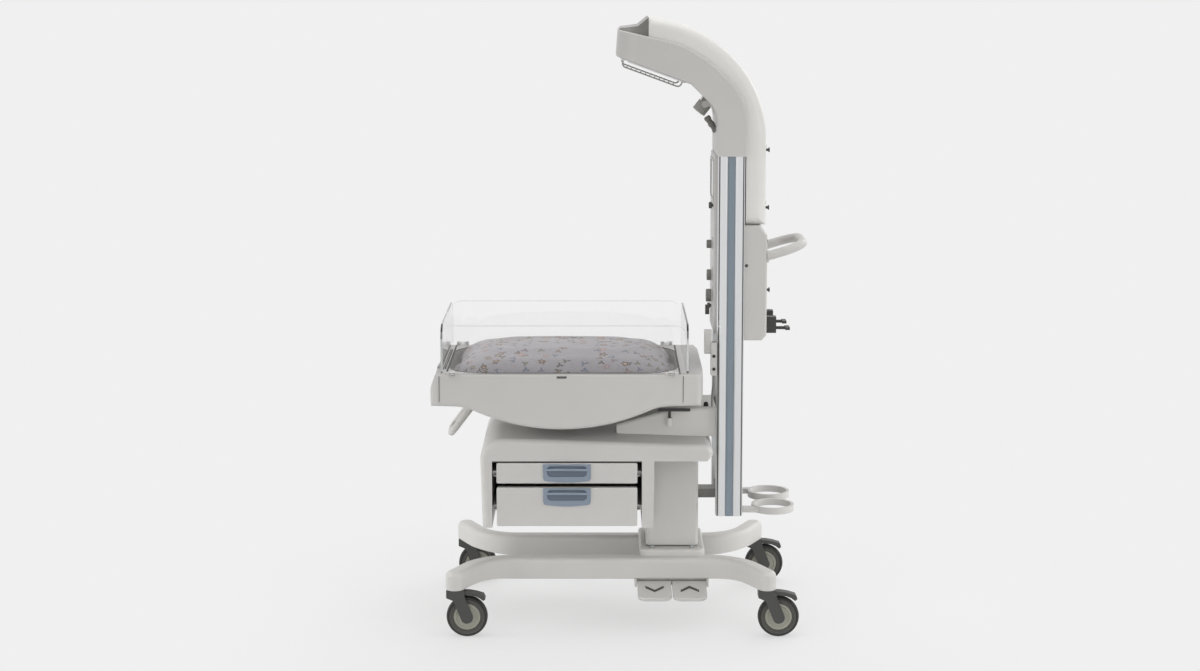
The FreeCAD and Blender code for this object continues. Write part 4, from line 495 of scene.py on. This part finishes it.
face_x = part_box("console")[0].x
knob_gap, knob_flutes, flute_deep, knob_edge = 0.0035, 14, 0.0012, 0.0022
pointer_half, pointer_start, pointer_end, pointer_proud, pointer_sunk = 0.001, 0.25, 0.78, 0.0004, 0.001
tick_count, tick_sweep, tick_half, tick_gap, tick_long = 11, math.radians(270), 0.0006, 0.004, 0.005
tick_proud, tick_sunk = 0.0003, 0.0005
ticks = bmesh.new()
for control in ("oxygen", "flow", "pressure"):
    low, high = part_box(f"{control}_knob")
    centre = (low + high) / 2
    radius = (high.z - low.z) / 2
    knob_foot = face_x - knob_gap
    knob = fluted(f"{control}_grip", radius, knob_flutes, flute_deep, (knob_foot, centre.y, centre.z),
                  (-1, 0, 0), knob_foot - low.x, knob_edge)
    fit(knob, f"{control}_control", "dark_control", knob_grey)
    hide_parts(f"{control}_knob")
    pointer = bmesh.new()
    bar(pointer, (low.x - pointer_proud, centre.y - pointer_half, centre.z + radius * pointer_start),
        (low.x + pointer_sunk, centre.y + pointer_half, centre.z + radius * pointer_end))
    fit(to_object(f"{control}_pointer", pointer), f"{control}_control", "dark_control", pale_ink)
    for i in range(tick_count):
        angle = tick_sweep * (i / (tick_count - 1) - 0.5)
        tick = bar(ticks, (face_x - tick_proud, -tick_half, radius + tick_gap),
                   (face_x + tick_sunk, tick_half, radius + tick_gap + tick_long))
        bmesh.ops.rotate(ticks, cent=(0, 0, 0), matrix=Matrix.Rotation(angle, 3, "X"), verts=tick)
        bmesh.ops.translate(ticks, vec=(0, centre.y, centre.z), verts=tick)
fit(to_object("dial_ticks", ticks), "carriage", "dark_control", arrow_inlay)


def display_window():
    """Dark glass over a panel of plain coloured bars."""
    material, place = start_material("dark display glass")
    bar_long_mm, bar_tall_mm, half_a_bar = 60, 18, 0.5
    axes = add(material, "ShaderNodeSeparateXYZ", {"Vector": place})
    flat = add(material, "ShaderNodeCombineXYZ", {"X": axes.outputs["Y"], "Y": axes.outputs["Z"], "Z": 0.0})
    rows = add(material, "ShaderNodeMapping", {
        "Vector": flat.outputs[0], "Location": (half_a_bar, 0, 0),
        "Scale": (1000 / bar_long_mm, 1000 / bar_tall_mm, 1)})
    bars = add(material, "ShaderNodeTexBrick", {
        "Vector": rows.outputs[0], "Color1": linear("#2F5F55"), "Color2": linear("#6B6A42"),
        "Mortar": linear("#0C0F12"), "Scale": 1.0, "Mortar Size": 0.22, "Mortar Smooth": 0.05,
        "Brick Width": 1.0, "Row Height": 1.0}, offset=0.0)
    return end_material(material, {"Base Color": bars.outputs["Color"], "Roughness": 0.06, "IOR": 1.5})


def flat_frame(half_long, half_wide, corner, corner_steps, wide, tall, edge=0, edge_steps=0):
    """A frame of one width with round corners, as a bmesh on z = 0, with its sharp edges rounded off."""
    shape = bmesh.new()
    bmesh.ops.create_grid(shape, x_segments=1, y_segments=1, size=1)
    bmesh.ops.scale(shape, vec=(half_long, half_wide, 1), verts=shape.verts)
    round_off(shape, shape.verts[:], corner, corner_steps, "VERTICES")
    border = bmesh.ops.inset_region(shape, faces=shape.faces[:], thickness=wide, use_boundary=True,
                                    use_even_offset=True)["faces"]
    bmesh.ops.delete(shape, geom=[face for face in shape.faces if face not in border], context="FACES")
    raise_faces(shape, shape.faces[:], (0, 0, tall))
    bmesh.ops.recalc_face_normals(shape, faces=shape.faces)
    if edge:
        sharp_turn = math.radians(60)
        sharp = [line for line in shape.edges if line.calc_face_angle() > sharp_turn]
        round_off(shape, sharp, edge, edge_steps)
    return shape


coat(display_window(), "display")
screen_low, screen_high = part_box("display")
screen_middle = (screen_low + screen_high) / 2
screen_half = (screen_high - screen_low) / 2
bezel_wide, bezel_proud, bezel_sunk, bezel_round, bezel_edge = 0.007, 0.0025, 0.001, 0.009, 0.0006
bezel = flat_frame(screen_half.z + bezel_wide, screen_half.y + bezel_wide, bezel_round, 6, bezel_wide,
                   bezel_sunk + bezel_proud, bezel_edge, 2)
stand(bezel, (face_x + bezel_sunk, screen_middle.y, screen_middle.z), (-1, 0, 0))
fit(to_object("display_bezel", bezel), "carriage", "warm_grey_plastic", grey_plastic)

# Rear box, push handle, tank rings and rear fittings
# A moulded electronics housing screwed to the posts' backs, with a louvred vent over a black rubber mat.
# The handle is a bent tube moulded over with the same plastic, the rings are moulded to match, and the
# gas fittings and pegs are castings dipped in dark vinyl.
coat(grey_plastic, "rear_box", "push_handle", "tank_rings")
coat(dipped_vinyl, "rear_fittings")
box_low, box_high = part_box("rear_box")
screw_outline = [(0, 0.0008), (0.0022, 0.0008), (0.003, 0.0022), (0.0042, 0.0016), (0.005, 0.0004),
                 (0.005, -0.001), (0, -0.001)]
side_screw_in, side_screw_z = 0.007, 1.1135
back_screw_in, back_screw_up, back_screw_down = 0.016, 0.034, 0.048
screw_spots = []
for side in (-1, 1):
    screw_spots.append(((box_low.x + side_screw_in, side * box_high.y, side_screw_z), (0, side, 0)))
for y in (box_low.y + back_screw_in, box_high.y - back_screw_in):
    for z in (box_low.z + back_screw_up, box_high.z - back_screw_down):
        screw_spots.append(((box_high.x, y, z), (1, 0, 0)))
for i, (spot, facing) in enumerate(screw_spots):
    fit(turned(f"box_screw_{i}", screw_outline, spot, facing, 24), "carriage", "dark_control", dark_plastic)
louvre_count, louvre_pitch, louvre_half, vent_z = 6, 0.011, 0.042, 1.050
fin_half_thick, fin_half_tall, fin_lean, fin_out = 0.0008, 0.0045, -30, 0.0026
vent_border, vent_below, vent_above, vent_sunk, vent_proud = 0.006, 0.008, 0.002, 0.001, 0.0006
vent = bmesh.new()
bar(vent, (box_high.x - vent_sunk, -louvre_half - vent_border, vent_z - vent_below),
    (box_high.x + vent_proud, louvre_half + vent_border, vent_z + louvre_pitch * louvre_count - vent_above))
fit(to_object("vent_back", vent), "carriage", "dark_control", black_rubber_and_shade)
louvres = bmesh.new()
fin_turn = Matrix.Rotation(math.radians(fin_lean), 3, "Y")
for i in range(louvre_count):
    fin = bar(louvres, (-fin_half_thick, -louvre_half, -fin_half_tall),
              (fin_half_thick, louvre_half, fin_half_tall))
    bmesh.ops.rotate(louvres, cent=(0, 0, 0), matrix=fin_turn, verts=fin)
    bmesh.ops.translate(louvres, vec=(box_high.x + fin_out, 0, vent_z + louvre_pitch * i), verts=fin)
fit(to_object("vent_louvres", louvres), "carriage", "warm_grey_plastic", grey_plastic)

# Accessory bracket and hose
# A moulded clamp on the right post's front edge, tightened by two screws under black rubber caps, with a
# soft grey silicone hose that hangs from it to the support arm.
coat(grey_plastic, "accessory_bracket")
# Silicone: mid grey and dull
silicone = speckled_finish("grey silicone hose", ("#8D8D8A", "#9A9A97"), 2, 0.1, (0.5, 0.6), IOR=1.41)
hose_route = [(0.293, -0.128, 0.776), (0.293, -0.128, 0.742), (0.291, -0.092, 0.708),
              (0.291, -0.092, 0.66785)]
hose_diameter = 0.007
hose_line = bpy.data.curves.new("hose_line", "CURVE")
hose_line.dimensions = "3D"
hose_line.bevel_depth = hose_diameter / 2
hose_line.bevel_resolution = 6
hose_line.use_fill_caps = True
run = hose_line.splines.new("NURBS")
run.points.add(len(hose_route) - 1)
for point, spot in zip(run.points, hose_route):
    point.co = (*spot, 1)
run.order_u = 3
run.use_endpoint_u = True
run.resolution_u = 24
hose = bpy.data.objects.new("bracket_hose", hose_line)
bpy.context.scene.collection.objects.link(hose)
fit(hose, "carriage", "hose_rubber", silicone)
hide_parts("hose")
bracket_low, bracket_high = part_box("accessory_bracket")
cap_outline = [(0, 0.0032), (0.0035, 0.003), (0.0046, 0.0022), (0.005, 0.0008), (0.005, -0.001), (0, -0.001)]
cap_in, cap_heights = 0.009, (0.020, 0.060)
for i, height in enumerate(cap_heights):
    spot = (bracket_high.x - cap_in, bracket_low.y, bracket_low.z + height)
    cap = turned(f"bracket_screw_{i}", cap_outline, spot, (0, -1, 0), 24)
    fit(cap, "carriage", "dark_control", black_rubber_and_shade)

# Heater head
# Two moulded shells over a steel frame: the nose and neck below, and the raised spine behind them. A
# smoked lens for the alarm light is let into the nose's top. A quartz tube under a polished reflector,
# with a wire guard clipped below it, gives the heat.
coat(grey_plastic, "head_shell")
# The spine's paler plastic is partly its own tone and partly painted light
coat(pale_lit_plastic, "head_spine")


def smoked_lens(pale_x, dark_x):
    """Smoked polycarbonate: glossy and smoke-tinted, with painted shade that darkens it from the nose to the
    spine, and flow lines.
    """
    material, place = start_material("smoked polycarbonate")
    flow_mm = 30
    flow = add(material, "ShaderNodeTexNoise", {"Vector": place, "Scale": 1000 / flow_mm, "Detail": 2.0})
    axes = add(material, "ShaderNodeSeparateXYZ", {"Vector": place})
    depth = add(material, "ShaderNodeMapRange", {
        "Value": axes.outputs["X"], "From Min": pale_x, "From Max": dark_x}, interpolation_type="SMOOTHSTEP")
    nose_to_spine_shade = add(material, "ShaderNodeMix", {
        "Factor": depth.outputs["Result"], "A": linear("#A3A19D"), "B": linear("#575551")}, data_type="RGBA")
    tone = add(material, "ShaderNodeMix", {
        "Factor": flow.outputs["Fac"], "A": outcome(nose_to_spine_shade), "B": linear("#7C7A76")}, data_type="RGBA")
    soft = add(material, "ShaderNodeMapRange", {"Value": flow.outputs["Fac"], "To Min": 0.26, "To Max": 0.36})
    return end_material(material, {
        "Base Color": outcome(tone), "Roughness": soft.outputs["Result"], "IOR": 1.58})


lens_low, lens_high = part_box("alarm_lens")
pale_end = 0.01
coat(smoked_lens(lens_low.x + pale_end, lens_high.x), "alarm_lens")
# Polished aluminium sheet: bright, with faint rolling streaks
polished_sheet = brushed_metal("polished aluminium sheet", ("#DADBDC", "#E8E8E9"), 1.5, "Y", (0.1, 0.2))
coat(polished_sheet, "heater_reflector")
# Quartz heater tube: milky and smooth
quartz = speckled_finish("milky quartz tube", ("#CFCBC2", "#DAD6CE"), 6, 0.05, (0.25, 0.35), IOR=1.46)
coat(quartz, "heater_element")
# Drawn wire: bright nickel plate
nickel_wire = brushed_metal("nickel-plated wire", ("#8C8B88", "#A3A29E"), 1, "Y", (0.2, 0.3))
coat(nickel_wire, "heater_guard")
# The heater's rim is a rolled frame of the same polished sheet, clipped round the opening
rim_front, rim_slope = Vector((-0.007, 0, 1.748)), math.radians(20.2)
opening_start, opening_long, opening_half = 0.014, 0.212, 0.124
rim_wide, rim_thick, rim_round, rim_edge, rim_sunk = 0.010, 0.005, 0.03, 0.0018, 0.0006
rim = flat_frame(opening_long / 2, opening_half, rim_round, 8, rim_wide, -rim_thick, rim_edge, 3)
bmesh.ops.translate(rim, vec=(opening_start + opening_long / 2, 0, rim_sunk), verts=rim.verts)
slope = Matrix.Translation(rim_front) @ Matrix.Rotation(rim_slope, 4, "Y")
bmesh.ops.transform(rim, matrix=slope, verts=rim.verts)
fit(to_object("heater_rim", rim), "carriage", "bright_reflector", polished_sheet)

# Exam lamp
# A fluted die-cast drum on a pin across the neck's recess, with cooling fins behind and a glass lens in
# front. A grey clamp knob below it holds its bracket to the neck.
lamp_pin, lamp_turn = Vector((0.267, 0, 1.5985)), math.radians(218)
lamp_axis = Vector((math.sin(lamp_turn), 0, math.cos(lamp_turn)))
# Die-cast body: mid grey enamel
lamp_enamel = speckled_finish("mid grey baked enamel", ("#9C9B95", "#A8A7A1"), 2, 0.12, (0.36, 0.46), IOR=1.5)
drum_radius, drum_long, drum_back, drum_edge = 0.022, 0.034, 0.002, 0.0018
drum_flutes, drum_groove = 18, 0.0022
drum = fluted("lamp_drum", drum_radius, drum_flutes, drum_groove, lamp_pin - lamp_axis * drum_back, lamp_axis,
              drum_long, drum_edge)
fit(drum, "lamp", "warm_grey_plastic", lamp_enamel)
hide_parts("exam_lamp")
fin_outline = [(0, -0.014), (0.016, -0.014), (0.016, -0.013), (0.021, -0.013), (0.021, -0.0105),
               (0.016, -0.0105), (0.016, -0.008), (0.021, -0.008), (0.021, -0.0055), (0.016, -0.0055),
               (0.016, -0.001), (0, -0.001)]
fit(turned("lamp_fins", fin_outline, lamp_pin, lamp_axis, 48), "lamp", "warm_grey_plastic", lamp_enamel)
# Lens: pale frosted glass
frosted_glass = speckled_finish("frosted glass", ("#E4E6E6", "#EEF0F0"), 3, 0.1, (0.3, 0.4), IOR=1.5)
lens_outline = [(0, 0.0345), (0.008, 0.0342), (0.014, 0.0334), (0.017, 0.0322), (0.0175, 0.031), (0, 0.031)]
fit(turned("lamp_lens", lens_outline, lamp_pin, lamp_axis, 48), "lamp", "warm_grey_plastic", frosted_glass)
# The clamp knob is moulded like the console's knobs, with two grooves round it
clamp_outline = [(0, 0.052), (0.008, 0.0518), (0.0098, 0.050), (0.0105, 0.047), (0.0105, 0.040),
                 (0.0088, 0.038), (0.0088, 0.030), (0.0105, 0.028), (0.0105, 0.020), (0.0086, 0.018),
                 (0.0086, 0.008), (0.0105, 0.006), (0.0105, -0.002), (0, -0.002)]
clamp_foot, clamp_axis = (0.299, -0.0412, 1.5185), (-0.56, 0, 0.83)
clamp = turned("lamp_clamp", clamp_outline, clamp_foot, clamp_axis, 40)
fit(clamp, "carriage", "dark_control", knob_grey)

# Bed hull, end caps and tilt handle
# A moulded hull between two end caps that screw to it, with dark gaskets in the joints and a dark ring round
# the well as painted shade. The tilt handle is a bent bar moulded over with the same plastic.
coat(grey_plastic, "bed_hull", "bed_end_caps", "tilt_handle")
hull_low, hull_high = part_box("bed_hull")
rim_z, bed_half = 0.800, 0.265
foot_seam, head_seam = hull_low.x, hull_high.x
top_gasket_half, side_gasket_half, gasket_proud, gasket_sunk = 0.0024, 0.00072, 0.0012, 0.002
side_gasket_low, side_gasket_short = 0.717, 0.004
gaskets = bmesh.new()
for x, reach in ((foot_seam + 0.0125, 0.17), (foot_seam + 0.0205, 0.25), (head_seam - 0.0095, 0.25)):
    bar(gaskets, (x - top_gasket_half, -reach, rim_z - gasket_sunk),
        (x + top_gasket_half, reach, rim_z + gasket_proud))
for x in (foot_seam, head_seam):
    for side in (-1, 1):
        near, far = sorted((side * (bed_half - gasket_sunk), side * (bed_half + gasket_proud)))
        bar(gaskets, (x - side_gasket_half, near, side_gasket_low),
            (x + side_gasket_half, far, rim_z - side_gasket_short))
fit(to_object("bed_gaskets", gaskets), "bed", "dark_control", black_rubber_and_shade)
# The dark ring round the well is painted shade: it darkens the gap between the mattress and the well's edge
well_left, well_right, well_half, well_round = -0.515, 0.180, 0.238, 0.112
well_ring_wide, well_ring_tall, well_ring_sunk = 0.004, 0.0022, 0.001
well_ring = flat_frame((well_right - well_left) / 2 + well_ring_wide, well_half + well_ring_wide,
                  well_round + well_ring_wide, 20, well_ring_wide, well_ring_tall)
bmesh.ops.translate(well_ring, vec=((well_left + well_right) / 2, 0, rim_z - well_ring_sunk), verts=well_ring.verts)
fit(to_object("well_shade_ring", well_ring), "bed", "dark_control", black_shade_strip)
latch_left, latch_right, latch_foot, latch_top = -0.186, -0.156, 0.7885, 0.7955
latch_proud, latch_sunk, latch_edge = 0.0016, 0.002, 0.0012
latch = bmesh.new()
bar(latch, (latch_left, -bed_half - latch_proud, latch_foot),
    (latch_right, -bed_half + latch_sunk, latch_top))
round_off(latch, latch.edges[:], latch_edge, 3)
fit(to_object("panel_latch", latch), "bed", "dark_control", dark_plastic)

# Clear panels
# Cast acrylic sheet with polished edges. The side and foot panels turn on hinges along the bed's rim,
# and the head panel stands in a slot.


def clear_acrylic():
    """Cast acrylic: water-clear with faint haze from cleaning."""
    material, place = start_material("clear cast acrylic")
    haze_mm = 60
    haze = add(material, "ShaderNodeTexNoise", {"Vector": place, "Scale": 1000 / haze_mm, "Detail": 2.0})
    rough = add(material, "ShaderNodeMapRange", {"Value": haze.outputs["Fac"], "To Min": 0.0, "To Max": 0.05})
    return end_material(material, {
        "Base Color": linear("#FFFFFF"), "Roughness": rough.outputs["Result"], "IOR": 1.49,
        "Transmission Weight": 1.0})


coat(clear_acrylic(), "right_panel", "left_panel", "foot_panel", "head_panel")
# Each end panel's upright edges are sawn and flame-polished; a pale opaque strip on each is a painted
# highlight for the line of light they catch
edge_highlight_paint = speckled_finish("painted highlight on acrylic edge", ("#CDD0D0", "#D6D8D8"), 2, 0.05, (0.2, 0.3), IOR=1.49)
edge_low, edge_high, edge_cap = 0.806, 0.905, 0.0008
for panel, body, inner, outer in (
        ("foot_panel", "foot_side", -0.5362, -0.5298), ("head_panel", "bed", 0.2058, 0.2122)):
    panel_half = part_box(panel)[1].y
    edges = bmesh.new()
    for side in (-1, 1):
        near, far = sorted((side * (panel_half - edge_cap), side * (panel_half + edge_cap)))
        bar(edges, (inner, near, edge_low), (outer, far, edge_high))
    fit(to_object(f"{panel}_edges", edges), body, "clear_acrylic", edge_highlight_paint)

# Mattress
# A foam pad in a sewn cotton cover with a scattered print, laid loose in the bed's well.
# The cover is drawn over the foam, so the pad is crowned and its corners gather a little.


def printed_cotton():
    """Cotton print: lilac-grey ground with scattered blossoms, leaves and dots, on softly creased cloth."""
    material, place = start_material("printed cotton cover")
    plan = add(material, "ShaderNodeUVMap", uv_map="cover_plan").outputs["UV"]

    def scattered(ground, spacing_mm, shift_mm, petals, reach_mm, empty_share, hues):
        """Prints one scattered figure, turned at random in each cell, over the ground so far."""
        shift, aslant = shift_mm / 1000, 1.7
        moved = add(material, "ShaderNodeVectorMath", {0: plan, 1: (shift, shift / aslant, 0)})
        cells = add(material, "ShaderNodeTexVoronoi", {
            "Vector": moved.outputs[0], "Scale": 1000 / spacing_mm, "Randomness": 0.6},
            voronoi_dimensions="2D")
        dye = add(material, "ShaderNodeSeparateColor", {"Color": cells.outputs["Color"]})
        offset = add(material, "ShaderNodeVectorMath", {0: moved.outputs[0], 1: cells.outputs["Position"]},
                     operation="SUBTRACT")
        arm = add(material, "ShaderNodeSeparateXYZ", {"Vector": offset.outputs[0]})
        angle = add(material, "ShaderNodeMath", {0: arm.outputs["Y"], 1: arm.outputs["X"]},
                    operation="ARCTAN2")
        turn = add(material, "ShaderNodeMath", {0: dye.outputs["Green"], 1: math.tau, 2: angle.outputs[0]},
                   operation="MULTIPLY_ADD")
        round_it = add(material, "ShaderNodeMath", {0: turn.outputs[0], 1: float(petals)},
                       operation="MULTIPLY")
        wave = add(material, "ShaderNodeMath", {0: round_it.outputs[0]}, operation="COSINE")
        edge = add(material, "ShaderNodeMapRange", {
            "Value": wave.outputs[0], "From Min": -1.0, "From Max": 1.0,
            "To Min": reach_mm[0] / 1000, "To Max": reach_mm[1] / 1000})
        away = add(material, "ShaderNodeVectorMath", {0: offset.outputs[0]}, operation="LENGTH")
        inside = add(material, "ShaderNodeMath", {0: away.outputs["Value"], 1: edge.outputs["Result"]},
                     operation="LESS_THAN")
        shown = add(material, "ShaderNodeMath", {0: dye.outputs["Blue"], 1: empty_share},
                    operation="GREATER_THAN")
        both = add(material, "ShaderNodeMath", {0: inside.outputs[0], 1: shown.outputs[0]},
                   operation="MULTIPLY")
        palette = add(material, "ShaderNodeValToRGB", {"Fac": dye.outputs["Red"]})
        ramp = palette.color_ramp
        ramp.interpolation = "CONSTANT"
        while len(ramp.elements) < len(hues):
            ramp.elements.new(1.0)
        for i, hue in enumerate(hues):
            ramp.elements[i].position = i / len(hues)
            ramp.elements[i].color = linear(hue)
        return outcome(add(material, "ShaderNodeMix", {
            "Factor": both.outputs[0], "A": ground, "B": palette.outputs["Color"]}, data_type="RGBA"))

    cloud_mm = 90
    clouds = add(material, "ShaderNodeTexNoise", {"Vector": place, "Scale": 1000 / cloud_mm, "Detail": 3.0})
    cloth = outcome(add(material, "ShaderNodeMix", {
        "Factor": clouds.outputs["Fac"], "A": linear("#959196"), "B": linear("#A09DA0")}, data_type="RGBA"))
    cloth = scattered(cloth, 21, 7, 2, (1.5, 4.5), 0.3, ("#8B8F9A", "#948A88", "#A89697", "#8F8F7E"))
    leaves = ("#66625A", "#6E6A58", "#6B7180", "#7A6862", "#5F5A55")
    cloth = scattered(cloth, 43, 31, 3, (2.5, 13), 0.2, leaves)
    blossoms = ("#7D6A5A", "#A08684", "#735F54", "#978587", "#7C7160")
    cloth = scattered(cloth, 62, 0, 5, (8, 15), 0.2, blossoms)
    cloth = scattered(cloth, 62, 0, 5, (3, 4), 0.2, ("#B5AC9C", "#AC9F93"))
    # Shallow slanting ridges, where the cloth is drawn over the foam. The wave's angle grows by 10 radians
    # in each unit of its vector.
    ridge_mm, wave_radians = 31.4, 10
    ridges = add(material, "ShaderNodeTexWave", {
        "Vector": place, "Scale": math.tau / wave_radians * 1000 / ridge_mm, "Distortion": 0.4},
        bands_direction="DIAGONAL")
    crease_mm = 45
    creases = add(material, "ShaderNodeTexNoise", {"Vector": place, "Scale": 1000 / crease_mm, "Detail": 1.0})
    relief = add(material, "ShaderNodeBump", {
        "Height": creases.outputs["Fac"], "Strength": 0.35, "Distance": 0.006})
    drawn = add(material, "ShaderNodeBump", {
        "Height": ridges.outputs["Fac"], "Strength": 0.15, "Distance": 0.0004,
        "Normal": relief.outputs["Normal"]})
    return end_material(material, {
        "Base Color": cloth, "Roughness": 0.85, "Sheen Weight": 0.2, "Normal": drawn.outputs["Normal"]})


def puffed(piece, swell):
    """Inflates a closed cover over its filling with a short cloth run, with each point's move capped."""
    start = [vertex.co.copy() for vertex in piece.data.vertices]
    pressure, quality, last_frame = 4, 6, 20
    cloth = piece.modifiers.new("cover", "CLOTH")
    cloth.settings.use_pressure = True
    cloth.settings.uniform_pressure_force = pressure
    cloth.settings.effector_weights.gravity = 0
    cloth.settings.quality = quality
    scene = bpy.context.scene
    for number in range(1, last_frame + 1):
        scene.frame_set(number)
    moved = piece.evaluated_get(bpy.context.evaluated_depsgraph_get()).to_mesh()
    ends = [vertex.co.copy() for vertex in moved.vertices]
    piece.modifiers.remove(cloth)
    scene.frame_set(1)
    for vertex, old, new in zip(piece.data.vertices, start, ends):
        move = new - old
        vertex.co = old + move * min(1.0, swell / max(move.length, 1e-9))


pad_low, pad_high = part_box("mattress")
pad_middle = (pad_low + pad_high) / 2
pad = nodes["mattress"].copy()
pad.data = nodes["mattress"].data.copy()
pad.name = "mattress_pad"
bpy.context.scene.collection.objects.link(pad)
shape = bmesh.new()
shape.from_mesh(pad.data)
bmesh.ops.remove_doubles(shape, verts=shape.verts, dist=1e-5)
slack, low_slack, swell, grid_step, floor_gap = 0.97, 0.98, 0.012, 0.006, 0.0004
bmesh.ops.translate(shape, vec=-pad_middle, verts=shape.verts)
bmesh.ops.scale(shape, vec=(slack, slack, low_slack), verts=shape.verts)
bmesh.ops.translate(shape, vec=pad_middle, verts=shape.verts)
shape.to_mesh(pad.data)
shape.free()
pad.data.remesh_voxel_size = grid_step
bpy.context.view_layer.objects.active = pad
bpy.ops.object.voxel_remesh()
# The pad is pillowed: highest in the middle, and thin where the cover's ends are sewn
half_long, half_wide = (pad_high.x - pad_low.x) / 2, (pad_high.y - pad_low.y) / 2
crown, long_flat, end_thin, wide_flat, side_thin = 0.2, 0.7, 0.4, 0.75, 0.25
for vertex in pad.data.vertices:
    along = abs(vertex.co.x - pad_middle.x) / half_long
    aside = abs(vertex.co.y - pad_middle.y) / half_wide
    height = 1 + crown * (1 - along ** 2) * (1 - aside ** 2)
    height -= end_thin * max(0, (along - long_flat) / (1 - long_flat)) ** 2
    height -= side_thin * max(0, (aside - wide_flat) / (1 - wide_flat)) ** 2
    vertex.co.z = pad_low.z + (vertex.co.z - pad_low.z) * height
puffed(pad, swell)
# The run draws the cover in, so it is eased out again until the pad fills its place in the well
fill_share = 0.99
reach_long = max(abs(vertex.co.x - pad_middle.x) for vertex in pad.data.vertices)
reach_wide = max(abs(vertex.co.y - pad_middle.y) for vertex in pad.data.vertices)
for vertex in pad.data.vertices:
    vertex.co.x = pad_middle.x + (vertex.co.x - pad_middle.x) * fill_share * half_long / reach_long
    vertex.co.y = pad_middle.y + (vertex.co.y - pad_middle.y) * fill_share * half_wide / reach_wide
    vertex.co.z = max(vertex.co.z, pad_low.z + floor_gap)
# The cover's plan runs on down the sides, so that the print keeps its scale there
pad_top = max(vertex.co.z for vertex in pad.data.vertices)
plan = pad.data.uv_layers.new(name="cover_plan")
for corner in pad.data.loops:
    vertex = pad.data.vertices[corner.vertex_index]
    outwards = Vector((vertex.normal.x, vertex.normal.y))
    drop = pad_top - vertex.co.z
    plan.data[corner.index].uv = Vector((vertex.co.x, vertex.co.y)) + outwards * drop
pad.data.materials.clear()
pad.data.shade_smooth()
finer = pad.modifiers.new("finer", "SUBSURF")
finer.levels = 1
finer.render_levels = 1
fit(pad, "bed", "quilted_cover", printed_cotton())
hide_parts("mattress")

# Floor, light and camera
# A pale studio sweep with broad soft lamps, and a camera at the photograph's place.
floor_half = 9
stage_floor = bmesh.new()
bmesh.ops.create_grid(stage_floor, x_segments=1, y_segments=1, size=floor_half)
floor = to_object("studio_floor", stage_floor)


def seen_rays(material):
    """1 for rays that show the backdrop: straight from the camera, or by gloss or glass."""
    rays = add(material, "ShaderNodeLightPath").outputs
    direct = add(material, "ShaderNodeMath", {0: rays["Is Camera Ray"], 1: rays["Is Transmission Ray"]},
                 operation="MAXIMUM")
    return add(material, "ShaderNodeMath", {0: direct.outputs[0], 1: rays["Is Glossy Ray"]},
               operation="MAXIMUM").outputs[0]


def studio_paper():
    """Matt paper that takes a soft shadow and fades into the backdrop away from the object."""
    material, place = start_material("white studio paper")
    paper = add(material, "ShaderNodeBsdfDiffuse", {"Color": linear("#E2E2E2")})
    glow = add(material, "ShaderNodeEmission", {"Color": linear("#F0F0F0")})
    away = add(material, "ShaderNodeVectorMath", {0: place}, operation="LENGTH")
    fade = add(material, "ShaderNodeMapRange", {
        "Value": away.outputs["Value"], "From Min": 0.6, "From Max": 1.4, "To Min": 0.55, "To Max": 1.0},
        interpolation_type="SMOOTHSTEP")
    share = add(material, "ShaderNodeMath", {0: fade.outputs["Result"], 1: seen_rays(material)},
                operation="MULTIPLY")
    mixed = add(material, "ShaderNodeMixShader", {
        0: share.outputs[0], 1: paper.outputs[0], 2: glow.outputs[0]})
    add(material, "ShaderNodeOutputMaterial", {"Surface": mixed.outputs[0]})
    return material


floor.data.materials.append(studio_paper())

world = bpy.data.worlds.new("studio")
world.use_nodes = True
world.node_tree.nodes.clear()
soft = add(world, "ShaderNodeBackground", {"Color": linear("#FFFFFF"), "Strength": 0.68})
back = add(world, "ShaderNodeBackground", {"Color": linear("#F0F0F0"), "Strength": 1.0})
both = add(world, "ShaderNodeMixShader", {0: seen_rays(world), 1: soft.outputs[0], 2: back.outputs[0]})
add(world, "ShaderNodeOutputWorld", {"Surface": both.outputs[0]})
bpy.context.scene.world = world


def softbox(name, place, aim, width, watts, spread_degrees=180, mirrored=True):
    """A square soft lamp aimed at a point; one that isn't mirrored leaves no glare in gloss or glass."""
    lamp = bpy.data.lights.new(name, "AREA")
    lamp.shape = "SQUARE"
    lamp.size = width
    lamp.energy = watts
    lamp.spread = math.radians(spread_degrees)
    holder = bpy.data.objects.new(name, lamp)
    holder.location = place
    holder.visible_glossy = mirrored
    holder.visible_camera = False
    holder.rotation_euler = (Vector(aim) - Vector(place)).to_track_quat("-Z", "Y").to_euler()
    bpy.context.scene.collection.objects.link(holder)


softbox("key_lamp", (-2.8, -3.6, 2.2), (0, 0, 0.9), 2.4, 19)
softbox("fill_lamp", (3.1, -3.1, 2.1), (0.2, 0, 1.2), 2.6, 19)
softbox("low_lamp", (-0.2, -4.6, 0.75), (0, 0.1, -0.05), 1.2, 1.05, spread_degrees=30, mirrored=False)
for side in (-1, 1):
    softbox(f"side_lamp_{side}", (side * 2.4, -0.25, 0.8), (0, 0.15, 0.3), 1.0, 3.0, spread_degrees=60,
            mirrored=False)
softbox("column_lamp", (2.2, -3.0, 2.4), (0.45, 0, 1.3), 1.0, 0.4, spread_degrees=25, mirrored=False)
softbox("rear_lamp", (3.0, 2.6, 2.6), (0, 0, 1.2), 2.2, 31)
softbox("top_lamp", (0, 0.3, 4.4), (0, 0, 0), 3.2, 46)

eye = Vector((-0.057, -6.749, 2.025))
camera_data = bpy.data.cameras.new("camera")
camera_data.lens = 65.74
camera_data.sensor_width = 36
camera_data.shift_x = 0.0004
camera_data.shift_y = -0.0533
camera = bpy.data.objects.new("camera", camera_data)
camera.location = eye
down_degrees = 8.0
camera.rotation_euler = (math.radians(90 - down_degrees), 0, 0)
bpy.context.scene.collection.objects.link(camera)
bpy.context.scene.camera = camera
bpy.context.scene.view_settings.view_transform = "Standard"
